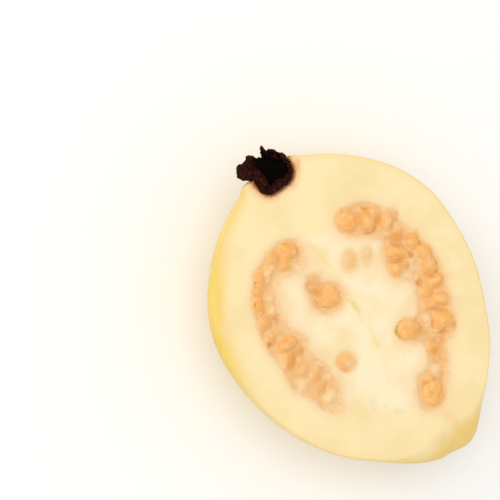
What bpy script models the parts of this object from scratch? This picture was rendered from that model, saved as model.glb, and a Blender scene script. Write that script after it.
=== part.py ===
"""Half of a ripe yellow guava, cut lengthwise, lying on its round back with the cut face up.

Peel, flesh and pulp grew as one piece and are one solid, fruit_half. Two arches of seeds, each held
together by its own strip of pulp, sit in channels of the cut face, and four lone seeds or pairs sit in
sockets between them. The dry brown calyx lines the cup at the blossom end.

Fruit coordinates are millimetres: x across the face, along from the mouth of the calyx to the stem, and
up from the cut plane. In the part's frame +Z is the normal of the cut face, +Y points to the calyx, and
the origin is the centre of the flat spot on which the half rests.
"""

import math

import bmesh
import bpy
from mathutils import Euler, Vector, noise
from mathutils.geometry import interpolate_bezier

MM = 0.001

# Driving dimensions, in millimetres.
LENGTH = 79.6  # mouth of the calyx to the end of the stem nub
FACE_HEIGHT = 28.0  # cut face above the surface that the half lies on
REST_ALONG = 37.5  # distance from the calyx mouth to the rest spot, under the centre of mass
GAP = 0.3  # clearance between neighbouring solids

# The four outlines of the whole fruit, each from the calyx pole to the stem pole, as (along, away from
# the axis).
RIGHT_OUTLINE = (
    (0.9, 0.0), (0.3, 5.2), (0.3, 6.4), (1.6, 8.3), (5.2, 14.1), (9.8, 19.5), (16.5, 25.1), (25.5, 28.9),
    (35.0, 29.4), (44.4, 28.1), (52.5, 25.1), (60.5, 20.9), (66.0, 16.4), (71.4, 11.4), (76.2, 7.0), (79.2, 3.2),
    (79.3, 0.0),
)
LEFT_OUTLINE = (
    (0.9, 0.0), (0.2, 5.0), (-0.1, 6.1), (1.6, 8.6), (5.0, 15.6), (10.8, 22.5), (18.0, 28.1), (26.0, 31.4),
    (35.0, 32.2), (44.0, 31.2), (52.8, 28.4), (61.5, 23.4), (69.0, 16.7), (74.1, 11.6), (77.3, 7.2), (79.0, 3.0),
    (79.3, 0.0),
)
BACK_OUTLINE = (
    (0.9, 0.0), (0.2, 5.0), (0.0, 6.2), (1.4, 8.4), (4.5, 12.9), (9.0, 17.6), (16.0, 22.4), (25.0, 25.2),
    (36.0, 26.2), (46.0, 25.0), (55.0, 21.6), (63.0, 17.2), (70.0, 12.4), (75.0, 8.6), (78.3, 4.8), (79.4, 2.2),
    (79.3, 0.0),
)
FRONT_OUTLINE = (
    (0.9, 0.0), (0.2, 5.0), (0.0, 6.2), (1.4, 8.4), (4.5, 12.4), (9.0, 15.6), (16.0, 17.6), (25.0, 18.5),
    (36.0, 18.8), (46.0, 17.8), (54.0, 15.0), (61.0, 11.4), (67.0, 8.2), (72.4, 5.4), (76.2, 4.2), (79.2, 2.0),
    (79.3, 0.0),
)

# The widest line lies a little under the cut plane, and the axis bends down and aside to the stem nub.
WIDEST_UNDER_FACE = 2.5
WIDEST_FROM = 22.0
BEND_START = 58.0
BEND_DOWN = 6.3
BEND_ASIDE = 2.2
BEND_POWER = 1.6

# Towards the stem the cross-section above the widest line turns from round (2) to boxy.
SQUARE_FROM = 54.0
SQUARE_TO = 68.0
SQUARENESS = 4.0

# Shallow flutes run into the stem nub and, fainter, into the neck under the calyx.
FLUTES = 5
STEM_FLUTE = 0.04
STEM_FLUTE_START = 62.0
NECK_FLUTE = 0.03
NECK_FLUTE_END = 18.0
SWELLING = 0.008  # share of the radius by which the back is uneven

AROUND = 68
RINGS = 46
FINE_STEPS = 16  # points between two knots of a smooth path

# The calyx: a half cup, and the lobes that are left of its five sepals.
CUP_X = 0.8
CUP_RADIUS = 4.5  # outside of the dry cup
CUP_DEPTH = 4.9
CUP_ROUND = 2.8
CUP_WALL = 0.6
CUP_STEPS = 30
SEPAL_FOOT = -0.6
SEPALS = (  # angle round the cup from +X, length, how far it leans out, half width in degrees
    (-12.0, 1.5, 0.3, 30.0),
    (-78.0, 4.6, 0.8, 38.0),
    (-160.0, 2.9, 2.4, 36.0),
)
SEPAL_ROWS = 8

# The middle lines of the two arches of seeds, as (x, along), and the half width of their pulp.
LEFT_ARCH = (
    (-5.2, 17.4), (-9.5, 16.8), (-14.2, 19.2), (-17.4, 24.5), (-19.4, 31.5), (-20.0, 38.5), (-19.0, 45.0),
    (-17.0, 51.6),
)
RIGHT_ARCH = (
    (8.2, 19.8), (12.6, 22.6), (16.2, 28.5), (18.0, 36.0), (16.8, 42.5), (13.6, 49.5), (9.0, 54.5), (5.2, 58.6),
    (1.8, 63.2),
)
PULP_HALF_WIDTH = 2.2
PULP_UNDER = 1.2  # middle of the strip of pulp under the cut plane
PULP_ROUND_ENDS = 0.1  # share of the strip over which each end is rounded
PULP_TIP = 0.25  # thickness of the very end, as a share
PULP_SIDES = 8
PULP_POINTS = 34

# Each seed is (x, along, length, width, turn of its length from +X in degrees, height over the cut plane).
LEFT_SEEDS = (
    (-6.3, 17.0, 4.5, 4.1, -36, 1.1), (-10.1, 16.8, 3.7, 3.3, 54, 0.9), (-9.4, 19.2, 3.0, 2.6, -36, 0.5),
    (-12.6, 18.9, 3.4, 3.1, 30, 0.5), (-15.0, 18.0, 3.7, 2.4, 54, 0.9), (-17.0, 20.2, 3.4, 2.4, 54, 0.9),
    (-15.2, 22.7, 3.3, 3.1, 20, 0.5), (-18.7, 22.9, 3.7, 2.4, 66, 0.9), (-16.9, 25.4, 3.3, 3.0, 40, 0.5),
    (-19.9, 27.4, 3.3, 3.1, 54, 0.7), (-20.9, 30.9, 3.0, 2.8, 10, 0.7), (-18.8, 34.0, 4.6, 3.2, -20, 1.2),
    (-20.2, 37.4, 3.7, 3.2, 54, 0.8), (-19.2, 41.3, 3.4, 3.2, 50, 0.6), (-16.5, 43.1, 2.9, 2.8, 10, 0.7),
    (-20.5, 44.0, 3.2, 3.1, 20, 0.7), (-16.8, 45.9, 3.2, 2.8, 54, 0.6), (-17.2, 49.0, 3.3, 3.1, 30, 0.5),
)
RIGHT_SEEDS = (
    (8.7, 19.9, 5.7, 4.9, 54, 1.2), (12.6, 22.7, 5.7, 4.4, 54, 1.2), (15.4, 25.5, 5.2, 3.2, 54, 0.9),
    (16.0, 29.3, 3.8, 3.2, 30, 0.4), (18.7, 32.0, 3.7, 3.2, -36, 0.9), (13.9, 32.4, 5.7, 3.0, -36, 1.4),
    (12.0, 34.9, 4.0, 3.6, -36, 0.9), (14.6, 34.7, 4.4, 3.4, 0, 0.3), (19.2, 35.8, 4.0, 3.6, -36, 0.9),
    (18.4, 39.2, 3.9, 3.8, 20, 1.1),
    (17.1, 43.3, 4.9, 2.9, -36, 1.0), (13.9, 43.0, 3.6, 3.1, -36, 0.8), (15.7, 46.6, 4.5, 2.8, -36, 0.9),
    (13.1, 46.9, 3.2, 2.8, -36, 0.6), (13.8, 51.1, 4.5, 4.3, 20, 1.2), (6.4, 48.4, 4.9, 4.4, -36, 1.2),
    (10.2, 49.3, 4.4, 3.2, 0, 0.4), (7.9, 55.0, 3.3, 2.6, -36, 0.8), (5.3, 58.4, 3.2, 3.0, 40, 0.4),
    (2.5, 59.7, 3.2, 3.1, 30, 0.9), (2.1, 62.8, 4.9, 4.7, 60, 1.1),
)
LONE_SEEDS = {
    "seed_pair": ((-6.1, 27.3, 4.0, 2.9, 70, 0.8), (-5.2, 30.8, 5.2, 4.4, -36, 1.1)),
    "seed_upper_left": ((4.2, 27.4, 4.3, 3.6, 54, 0.6),),
    "seed_upper_right": ((8.4, 28.5, 4.0, 3.1, 54, 0.5),),
    "seed_lower": ((-10.0, 45.2, 4.0, 3.9, 30, 1.0),),
}
SEED_THICKNESS = 0.85  # height of a seed as a share of its width
SEED_TAPER = 0.16
SEED_AROUND = 12
SEED_RINGS = 7

# Linear colours, roughness.
PEEL = ((0.83, 0.56, 0.12), 0.42)
FLESH = ((0.97, 0.79, 0.44), 0.5)
SEED = ((0.88, 0.43, 0.13), 0.35)
DRY_SEPAL = ((0.055, 0.016, 0.008), 0.85)


def in_frame(x, along, up=0.0):
    """The place in the part's frame, in metres, of a point in fruit coordinates."""
    return Vector((x, REST_ALONG - along, FACE_HEIGHT + up)) * MM


def smoothstep(edge0, edge1, value):
    """0 before edge0, 1 after edge1, and smooth in between."""
    t = min(max((value - edge0) / (edge1 - edge0), 0.0), 1.0)
    return t * t * (3.0 - 2.0 * t)


def smooth_path(knots, count, mirror_ends=False):
    """count points, evenly spaced, on a smooth curve through the knots.

    With mirror_ends the curve meets the axis squarely at both ends, as an outline does at a pole.
    """
    knots = [Vector((*knot, 0.0)) for knot in knots]
    before, after = knots[0] * 2 - knots[1], knots[-1] * 2 - knots[-2]
    if mirror_ends:
        before, after = knots[1] * Vector((1, -1, 1)), knots[-2] * Vector((1, -1, 1))
    padded = [before, *knots, after]
    fine = []
    for a, b, c, d in zip(padded, padded[1:], padded[2:], padded[3:]):
        third = (c - b).length / 3.0
        leaving, arriving = b + (c - a).normalized() * third, c - (d - b).normalized() * third
        fine += interpolate_bezier(b, leaving, arriving, c, FINE_STEPS)[:-1]
    fine.append(knots[-1])
    reached = [0.0]
    for a, b in zip(fine, fine[1:]):
        reached.append(reached[-1] + (b - a).length)
    path, i = [], 0
    for step in range(count):
        target = reached[-1] * step / (count - 1)
        while i < len(fine) - 2 and reached[i + 1] < target:
            i += 1
        span = reached[i + 1] - reached[i]
        path.append(fine[i].lerp(fine[i + 1], (target - reached[i]) / span if span else 0.0))
    return path


def material(name, finish):
    """A Principled material of the given colour and roughness."""
    made = bpy.data.materials.new(name)
    made.use_nodes = True
    colour, roughness = finish
    shader = made.node_tree.nodes["Principled BSDF"]
    shader.inputs["Base Color"].default_value = (*colour, 1.0)
    shader.inputs["Roughness"].default_value = roughness
    made.diffuse_color = (*colour, 1.0)
    return made


def new_collection(name, helper=False):
    """A collection in the scene; a helper collection isn't rendered."""
    made = bpy.data.collections.new(name)
    bpy.context.scene.collection.children.link(made)
    made.hide_render = helper
    return made


def mesh_object(name, bm, collection, *materials):
    """An object that holds the bmesh, in the collection, with its materials."""
    mesh = bpy.data.meshes.new(name)
    bm.to_mesh(mesh)
    bm.free()
    for made in materials:
        mesh.materials.append(made)
    obj = bpy.data.objects.new(name, mesh)
    collection.objects.link(obj)
    return obj


def cut_out(obj, cutter):
    """Cuts the cutter, which is no part of the fruit, out of the object."""
    cutter.hide_render = True
    cutter.display_type = "WIRE"
    modifier = obj.modifiers.new("cut_" + cutter.name, "BOOLEAN")
    modifier.operation = "DIFFERENCE"
    modifier.solver = "EXACT"
    modifier.object = cutter


def apply_modifiers(obj):
    """Replaces the object's mesh by what its modifiers make of it."""
    graph = bpy.context.evaluated_depsgraph_get()
    mesh = bpy.data.meshes.new_from_object(obj.evaluated_get(graph))
    obj.modifiers.clear()
    obj.data = mesh


def remove(objects):
    """Deletes the objects from the scene."""
    for obj in list(objects):
        bpy.data.objects.remove(obj, do_unlink=True)


def cut_flat(bm, height, normal_up):
    """Cuts the bmesh at a level plane, drops what is beyond it, and closes the cut with one face."""
    made = bmesh.ops.bisect_plane(
        bm,
        geom=bm.verts[:] + bm.edges[:] + bm.faces[:],
        dist=1e-7,
        plane_co=(0.0, 0.0, height),
        plane_no=(0.0, 0.0, normal_up),
        clear_outer=True,
    )
    rim = [item for item in made["geom_cut"] if isinstance(item, bmesh.types.BMEdge)]
    bmesh.ops.contextual_create(bm, geom=rim)


def axis_point(along):
    """The place in the part's frame of the fruit's axis, beside which the outlines are drawn."""
    bend = max(0.0, (along - BEND_START) / (LENGTH - BEND_START)) ** BEND_POWER
    under = WIDEST_UNDER_FACE * smoothstep(0.0, WIDEST_FROM, along) + BEND_DOWN * bend
    return in_frame(BEND_ASIDE * bend, along, -under)


def section_reach(along, angle):
    """How far the cross-section reaches at an angle from +X, as a share of an ellipse's reach."""
    reach = 1.0
    if angle > 0.0:
        power = 2.0 + (SQUARENESS - 2.0) * smoothstep(SQUARE_FROM, SQUARE_TO, along)
        reach = (abs(math.cos(angle)) ** power + abs(math.sin(angle)) ** power) ** (-1.0 / power)
    return reach * unevenness(along, angle)


def unevenness(along, angle):
    """The factor on the radius for flutes near both ends and swellings of the back."""
    flute = STEM_FLUTE * smoothstep(STEM_FLUTE_START, LENGTH - 4.0, along)
    flute += NECK_FLUTE * (1.0 - smoothstep(2.0, NECK_FLUTE_END, along))
    swelling = math.sin(along * 0.11 + 1.0) * math.cos(2.0 * angle) + math.sin(3.0 * angle + along * 0.07)
    return 1.0 + (flute * math.cos(FLUTES * angle + 0.6) + SWELLING * swelling) * math.sin(angle) ** 2


def fruit_body(name, collection, *materials):
    """The half fruit without cup or channels: a sphere drawn out to the four outlines, then cut flat."""
    outlines = [
        smooth_path(knots, RINGS + 1, mirror_ends=True)
        for knots in (RIGHT_OUTLINE, LEFT_OUTLINE, BACK_OUTLINE, FRONT_OUTLINE)
    ]
    bm = bmesh.new()
    bmesh.ops.create_uvsphere(bm, u_segments=AROUND, v_segments=RINGS, radius=1.0)
    for vert in bm.verts:
        ring = round(math.acos(max(-1.0, min(1.0, vert.co.z))) / math.pi * RINGS)
        right, left, back, front = (outline[ring] for outline in outlines)
        angle = math.atan2(-vert.co.y, vert.co.x)
        across, upward = math.cos(angle), math.sin(angle)
        side = right if across > 0 else left
        depth = front if upward > 0 else back
        along = side.x * across**2 + depth.x * upward**2
        reach = section_reach(along, angle) * MM
        vert.co = axis_point(along) + Vector((side.y * across, 0.0, depth.y * upward)) * reach
    cut_flat(bm, FACE_HEIGHT * MM, 1.0)
    cut_flat(bm, 0.0, -1.0)
    bmesh.ops.recalc_face_normals(bm, faces=bm.faces[:])
    for face in bm.faces:
        face.smooth = abs(face.normal.z) < 0.999 or len(face.verts) < 5
        face.material_index = int(face.normal.z > 0.999)
    return mesh_object(name, bm, collection, *materials)


def add_seed(bm, seed, grow=0.0):
    """Adds one seed to the bmesh, a flattened ball that stands a little out of the cut face."""
    x, along, length, width, turn, rise = seed
    height = width * SEED_THICKNESS
    made = bmesh.ops.create_uvsphere(bm, u_segments=SEED_AROUND, v_segments=SEED_RINGS, radius=0.5)
    size = Vector((length, width, height)) + Vector((2.0, 2.0, 2.0)) * grow
    centre = in_frame(x, along, rise - height / 2.0)
    rotation = Euler((0.0, 0.0, math.radians(turn))).to_matrix()
    for vert in made["verts"]:
        taper = Vector((1.0, 1.0 - 2.0 * SEED_TAPER * vert.co.x, 1.0))
        vert.co = centre + rotation @ (vert.co * taper * size) * MM


def pulp_strip(name, arch, collection, grow=0.0):
    """The strip of pulp that holds an arch of seeds: a tube along the arch, with round ends."""
    half_width = PULP_HALF_WIDTH + grow
    curve = bpy.data.curves.new(name, "CURVE")
    curve.dimensions = "3D"
    curve.bevel_depth = half_width * MM
    curve.bevel_resolution = (PULP_SIDES - 4) // 2
    curve.use_fill_caps = True
    spline = curve.splines.new("POLY")
    path = smooth_path(arch, PULP_POINTS)
    spline.points.add(len(path) - 1)
    for i, (point, place) in enumerate(zip(spline.points, path)):
        share = i / (len(path) - 1)
        from_end = min(1.0, min(share, 1.0 - share) / PULP_ROUND_ENDS)
        point.co = (*in_frame(place.x, place.y, -PULP_UNDER), 1.0)
        point.radius = max(PULP_TIP, math.sqrt(1.0 - (1.0 - from_end) ** 2))
    guide = bpy.data.objects.new(name + "_guide", curve)
    collection.objects.link(guide)
    graph = bpy.context.evaluated_depsgraph_get()
    mesh = bpy.data.meshes.new_from_object(guide.evaluated_get(graph))
    bm = bmesh.new()
    bm.from_mesh(mesh)
    bmesh.ops.remove_doubles(bm, verts=bm.verts[:], dist=0.01 * MM)
    if grow == 0.0:
        cut_flat(bm, FACE_HEIGHT * MM, 1.0)
    bmesh.ops.recalc_face_normals(bm, faces=bm.faces[:])
    remove([guide])
    return mesh_object(name, bm, collection)


def seed_group(name, arch, seeds, collection, finish, grow=0.0):
    """One body of seeds, fused with each other and with their strip of pulp if they have one."""
    repeats = new_collection(name + "_repeats")
    for i, seed in enumerate(seeds):
        bm = bmesh.new()
        add_seed(bm, seed, grow)
        mesh_object(f"{name}_{i}", bm, repeats)
    if arch:
        group = pulp_strip(name, arch, collection, grow)
    else:
        first = repeats.objects[0]
        group = bpy.data.objects.new(name, first.data)
        collection.objects.link(group)
        remove([first])
    if repeats.objects:
        modifier = group.modifiers.new("fuse", "BOOLEAN")
        modifier.operation = "UNION"
        modifier.solver = "EXACT"
        modifier.operand_type = "COLLECTION"
        modifier.collection = repeats
        apply_modifiers(group)
    remove(repeats.objects)
    bpy.data.collections.remove(repeats)
    group.data.materials.clear()
    group.data.materials.append(finish)
    for polygon in group.data.polygons:
        polygon.material_index = 0
    group.data.shade_smooth()
    group.data.set_sharp_from_angle(angle=math.radians(40.0))
    return group


def cup_cutter(collection, finish):
    """The recess for the calyx: a short bore with a rounded floor, GAP wider than the cup."""
    radius, reach = (CUP_RADIUS + GAP) * MM, (CUP_DEPTH + GAP) * MM
    bm = bmesh.new()
    bmesh.ops.create_cone(bm, cap_ends=True, segments=48, radius1=radius, radius2=radius, depth=2.0 * reach)
    bmesh.ops.rotate(bm, verts=bm.verts[:], matrix=Euler((math.radians(90.0), 0.0, 0.0)).to_matrix())
    floor = [edge for edge in bm.edges if all(vert.co.y < -0.9 * reach for vert in edge.verts)]
    bmesh.ops.bevel(
        bm, geom=floor, offset=(CUP_ROUND + GAP) * MM, offset_type="OFFSET", segments=4, profile=0.5,
        affect="EDGES", material=-1,
    )
    bmesh.ops.translate(bm, verts=bm.verts[:], vec=in_frame(CUP_X, 0.0))
    return mesh_object("cup_cutter", bm, collection, finish)


def sepal_at(degrees):
    """(length, lean) of the calyx's edge at an angle round the cup."""
    length, lean = 0.5, 0.3
    for centre, reach, out, half in SEPALS:
        share = max(0.0, 1.0 - abs(degrees - centre) / half)
        lobe = math.sin(share * math.pi / 2.0) ** 0.8
        length, lean = length + reach * lobe, lean + out * lobe
    return length, lean


def calyx(collection, finish):
    """The dry calyx: a half cup turned about its axis, its edge drawn out into crumpled sepals."""
    radius, floor = CUP_RADIUS - CUP_WALL / 2.0, CUP_DEPTH - CUP_WALL / 2.0
    corner = CUP_ROUND - CUP_WALL / 2.0
    profile = [(floor, 0.0)]
    for step in range(6):
        turn = math.radians(90.0 * step / 5.0)
        profile.append((floor - corner * (1.0 - math.cos(turn)), radius - corner * (1.0 - math.sin(turn))))
    profile += [(1.2, radius), (0.3, radius), (SEPAL_FOOT, radius)]
    profile += [(SEPAL_FOOT - row, radius) for row in range(1, SEPAL_ROWS + 1)]
    bm = bmesh.new()
    chain = [bm.verts.new(Vector((away, -along, 0.0)) * MM) for along, away in profile]
    edges = [bm.edges.new(pair) for pair in zip(chain, chain[1:])]
    bmesh.ops.spin(
        bm, geom=chain + edges, axis=(0.0, 1.0, 0.0), cent=(0.0, 0.0, 0.0), angle=math.pi, steps=CUP_STEPS
    )
    bmesh.ops.remove_doubles(bm, verts=bm.verts[:], dist=0.02 * MM)
    for vert in bm.verts:
        x, along, up = vert.co.x / MM, -vert.co.y / MM, -abs(vert.co.z / MM)
        angle, away = math.atan2(up, x), math.hypot(x, up)
        row = (SEPAL_FOOT - along) / SEPAL_ROWS
        if row > 0.0:
            degrees = math.degrees(angle)
            length, lean = sepal_at(degrees)
            ragged = 1.0 + 0.25 * noise.noise(Vector((degrees * 0.11, 3.0, 0.0)))
            along = SEPAL_FOOT - length * ragged * row
            away += lean * row**1.5 + 0.5 * row * noise.noise(Vector((degrees * 0.05, along * 0.6, 7.0)))
        vert.co = in_frame(CUP_X + away * math.cos(angle), along, min(0.0, away * math.sin(angle)))
    bmesh.ops.recalc_face_normals(bm, faces=bm.faces[:])
    obj = mesh_object("calyx", bm, collection, finish)
    wall = obj.modifiers.new("wall", "SOLIDIFY")
    wall.thickness = CUP_WALL * MM
    wall.offset = 0.0
    obj.data.shade_smooth()
    return obj


def main():
    """Builds the guava half from an empty scene."""
    remove(bpy.data.objects)
    part = new_collection("guava_half")
    cutters = new_collection("cutters", helper=True)
    peel, flesh = material("peel", PEEL), material("flesh", FLESH)
    seed, dry = material("seed", SEED), material("dry_sepal", DRY_SEPAL)

    fruit = fruit_body("fruit_half", part, peel, flesh)
    cut_out(fruit, cup_cutter(cutters, flesh))
    groups = {"seeds_left": (LEFT_ARCH, LEFT_SEEDS), "seeds_right": (RIGHT_ARCH, RIGHT_SEEDS)}
    groups.update({name: (None, seeds) for name, seeds in LONE_SEEDS.items()})
    for name, (arch, seeds) in groups.items():
        seed_group(name, arch, seeds, part, seed)
        cut_out(fruit, seed_group(name + "_cutter", arch, seeds, cutters, flesh, grow=GAP))
    calyx(part, dry)


main()
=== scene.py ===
"""Looks of half a ripe yellow guava, cut lengthwise and lying on its round back with the cut face up.

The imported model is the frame: the cut face is level, +Y points to the calyx, +X across the face, and the
half rests at z = 0. Fruit coordinates are millimetres: x across the face, along from the mouth of the calyx
to the stem, and up from the cut face.
"""

from __future__ import annotations

import logging
import math
from collections.abc import Sequence
from dataclasses import dataclass, field
from enum import Enum

import bmesh
import bpy
import numpy as np
from mathutils import Matrix, Vector, noise
from mathutils.geometry import interpolate_bezier


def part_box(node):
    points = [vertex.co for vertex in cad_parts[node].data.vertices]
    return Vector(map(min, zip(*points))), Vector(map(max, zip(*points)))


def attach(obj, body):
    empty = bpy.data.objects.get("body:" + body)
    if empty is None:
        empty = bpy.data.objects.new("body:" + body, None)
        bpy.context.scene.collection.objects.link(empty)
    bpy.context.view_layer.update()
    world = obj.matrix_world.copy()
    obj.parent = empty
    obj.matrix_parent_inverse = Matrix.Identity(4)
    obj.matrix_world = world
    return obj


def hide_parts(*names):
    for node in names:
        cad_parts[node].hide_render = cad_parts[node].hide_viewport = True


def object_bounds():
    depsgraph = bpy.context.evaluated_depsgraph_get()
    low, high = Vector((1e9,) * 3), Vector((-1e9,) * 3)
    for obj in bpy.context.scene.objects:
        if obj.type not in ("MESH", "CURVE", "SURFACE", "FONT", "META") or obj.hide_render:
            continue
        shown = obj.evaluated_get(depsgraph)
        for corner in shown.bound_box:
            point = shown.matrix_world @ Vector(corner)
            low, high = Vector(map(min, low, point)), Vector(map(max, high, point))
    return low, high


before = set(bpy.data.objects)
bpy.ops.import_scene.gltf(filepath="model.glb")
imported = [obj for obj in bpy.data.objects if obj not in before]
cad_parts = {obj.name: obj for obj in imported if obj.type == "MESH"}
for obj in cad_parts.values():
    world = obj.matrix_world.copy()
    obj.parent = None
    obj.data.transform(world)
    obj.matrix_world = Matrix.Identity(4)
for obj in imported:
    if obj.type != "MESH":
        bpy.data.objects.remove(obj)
CAD_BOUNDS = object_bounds()

LOG = logging.getLogger("guava")

MM = 0.001
PER_METRE = 1000.0  # millimetres
FAR = 99.0  # beyond every edge, in millimetres
FACE_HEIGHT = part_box("fruit_half")[1].z / MM
MOUTH_Y = 37.5  # of the calyx's mouth, in front of the rest spot

Knots = tuple[tuple[float, float], ...]
Colour = tuple[float, float, float, float]
Input = float | Colour | bpy.types.NodeSocket  # what a socket of a shader takes


def in_frame(x: float, along: float, up: float = 0.0) -> Vector:
    """Place of a point of the fruit in the frame.

    Args:
        x: Across the cut face, in millimetres.
        along: From the mouth of the calyx towards the stem, in millimetres.
        up: Above the cut face, in millimetres.

    Returns:
        The place in metres.
    """
    return Vector((x, MOUTH_Y - along, FACE_HEIGHT + up)) * MM


def linear(hex_colour: str) -> Colour:
    """Linear colour, with alpha 1, of an sRGB hex value.

    Args:
        hex_colour: Six hex digits after a #.

    Returns:
        The linear red, green, blue and alpha.
    """
    shares = [int(hex_colour[i : i + 2], 16) / 255.0 for i in (1, 3, 5)]
    lit = [c / 12.92 if c <= 0.04045 else ((c + 0.055) / 1.055) ** 2.4 for c in shares]
    return (lit[0], lit[1], lit[2], 1.0)


def smoothstep(low: float, high: float, value: np.ndarray | float) -> np.ndarray:
    """Smooth step of a value or an array; it falls instead of rising where low is above high.

    Args:
        low: The value where the step is 0.
        high: The value where the step is 1.
        value: What is tested.

    Returns:
        0 to 1, as an array of the value's shape.
    """
    t = np.clip((np.asarray(value, float) - low) / (high - low), 0.0, 1.0)
    return t * t * (3.0 - 2.0 * t)


def smooth_path(knots: Knots, count: int, square_ends: bool = False, closed: bool = False) -> np.ndarray:
    """Evenly spaced points on a smooth curve through the knots.

    Args:
        knots: The points that the curve goes through.
        count: How many points to give.
        square_ends: Whether the curve meets the axis squarely at both ends, as an outline does at a pole.
        closed: Whether the curve is a loop, whose last knot repeats the first.

    Returns:
        An array of count rows and two columns.
    """
    points = [Vector((*knot, 0.0)) for knot in knots]
    before, after = points[0] * 2 - points[1], points[-1] * 2 - points[-2]
    if square_ends:
        before, after = points[1] * Vector((1, -1, 1)), points[-2] * Vector((1, -1, 1))
    if closed:
        before, after = points[-2], points[1]
    padded = [before, *points, after]
    fine: list[Vector] = []
    for a, b, c, d in zip(padded, padded[1:], padded[2:], padded[3:]):
        third = (c - b).length / 3.0
        leaving, arriving = b + (c - a).normalized() * third, c - (d - b).normalized() * third
        fine += interpolate_bezier(b, leaving, arriving, c, 16)[:-1]
    curve = np.array([point[:2] for point in [*fine, points[-1]]])
    return even_points(curve, count)


def even_points(curve: np.ndarray, count: int) -> np.ndarray:
    """Points evenly spaced along a polyline.

    Args:
        curve: The polyline, a row for each point.
        count: How many points to give.

    Returns:
        An array of count rows, with the polyline's columns.
    """
    reached = np.concatenate([[0.0], np.cumsum(np.linalg.norm(np.diff(curve, axis=0), axis=1))])
    wanted = np.linspace(0.0, reached[-1], count)
    return np.stack([np.interp(wanted, reached, column) for column in curve.T], axis=1)


def noise_at(points: np.ndarray, size: float, seed: float, octaves: int = 2) -> np.ndarray:
    """Smooth random values of about -1 to 1 at points.

    Args:
        points: Two or three coordinates a row, in millimetres.
        size: Width of a lump, in millimetres.
        seed: Which of many patterns.
        octaves: How many times finer detail is added.

    Returns:
        One value a point.
    """
    spread = np.zeros((len(points), 3))
    spread[:, : points.shape[1]] = points
    spread = spread / size + seed * 17.3
    return np.array([noise.fractal(row, 1.0, 2.1, octaves) for row in spread])


def path_distance(path: np.ndarray, x: np.ndarray, along: np.ndarray) -> np.ndarray:
    """Distance from points of the face to a path.

    Args:
        path: The path's points, as (x, along).
        x: The points' places across the face.
        along: The points' places along the fruit.

    Returns:
        The distances in millimetres.
    """
    nearest = np.full(len(x), np.inf)
    for px, pa in path:
        nearest = np.minimum(nearest, np.hypot(x - px, along - pa))
    return nearest


def add_node(
    tree: bpy.types.NodeTree,
    kind: str,
    inputs: dict[str | int, Input] | None = None,
    out: str | int = 0,
    **settings: object,
) -> bpy.types.NodeSocket:
    """Adds a node with its settings and links.

    Args:
        tree: The material's node tree.
        kind: The node's type.
        inputs: A value or another node's output for each input, by name or number.
        out: The output that is wanted, by name or number.
        settings: The node's own properties.

    Returns:
        The new node's output.
    """
    node = tree.nodes.new(kind)
    for name, value in settings.items():
        setattr(node, name, value)
    for key, value in (inputs or {}).items():
        if isinstance(value, bpy.types.NodeSocket):
            tree.links.new(value, node.inputs[key])
        else:
            node.inputs[key].default_value = value
    return node.outputs[out]


def new_material(name: str) -> tuple[bpy.types.Material, bpy.types.NodeTree, bpy.types.Node]:
    """Makes an empty material with a Principled shader.

    Args:
        name: The material's name.

    Returns:
        The material, its node tree and its Principled node.
    """
    material = bpy.data.materials.new(name)
    material.use_nodes = True
    return material, material.node_tree, material.node_tree.nodes["Principled BSDF"]


def add_object(name: str, data: bpy.types.ID) -> bpy.types.Object:
    """Adds an object to the scene.

    Args:
        name: The object's name.
        data: Its mesh, light or camera.

    Returns:
        The object.
    """
    added = bpy.data.objects.new(name, data)
    bpy.context.scene.collection.objects.link(added)
    return added


def finish_piece(
    name: str, bm: bmesh.types.BMesh, material: bpy.types.Material, nodes: Sequence[str] = ()
) -> bpy.types.Object:
    """Makes a piece of the fruit from a bmesh.

    Args:
        name: The piece's name.
        bm: Its mesh, in the frame; it is freed.
        material: Its finish.
        nodes: The nodes of the model that the piece stands for.

    Returns:
        The piece, riding on the fruit's one body.
    """
    mesh = bpy.data.meshes.new(name)
    bm.to_mesh(mesh)
    bm.free()
    mesh.shade_smooth()
    mesh.materials.append(material)
    piece = add_object(name, mesh)
    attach(piece, "root")
    if nodes:
        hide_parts(*nodes)
    LOG.info("%s: %d faces", name, len(mesh.polygons))
    return piece


def store(mesh: bpy.types.Mesh, name: str, values: np.ndarray) -> None:
    """Stores one number a vertex as an attribute that a material can read.

    Args:
        mesh: The piece's mesh.
        name: The attribute's name.
        values: A number for each vertex.
    """
    attribute = mesh.attributes.new(name, "FLOAT", "POINT")
    attribute.data.foreach_set("value", np.ascontiguousarray(values, np.float32))


def numbered_grid(across: int, lengthways: int) -> tuple[bmesh.types.BMesh, np.ndarray]:
    """Makes a flat grid whose vertices remember their numbers.

    Args:
        across: How many faces it has side by side.
        lengthways: How many it has one after another.

    Returns:
        The mesh, and for each vertex its place as two shares of the grid.
    """
    bm = bmesh.new()
    bmesh.ops.create_grid(bm, x_segments=across, y_segments=lengthways, size=1.0)
    order = bm.verts.layers.int.new("order")
    for number, vert in enumerate(bm.verts):
        vert[order] = number
    places = np.array([vert.co[:2] for vert in bm.verts])
    return bm, (places + 1.0) / 2.0


def take_numbers(bm: bmesh.types.BMesh) -> np.ndarray:
    """Takes the numbers from the vertices of a grid that has since been cut and welded.

    Args:
        bm: The mesh.

    Returns:
        For each vertex its number in the whole grid.
    """
    order = bm.verts.layers.int["order"]
    numbers = np.array([vert[order] for vert in bm.verts])
    bm.verts.layers.int.remove(order)
    return numbers


class Tone(Enum):
    """How a seed shows through its pulp: (share of amber, share of orange at its middle); the orange share
    also sets its ring of painted highlight.
    """

    BRIGHT = (1.0, 0.75)
    AMBER = (0.9, 0.25)
    DULL = (0.6, 0.0)
    PALE = (0.3, 0.0)
    FAINT = (0.12, 0.0)


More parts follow.
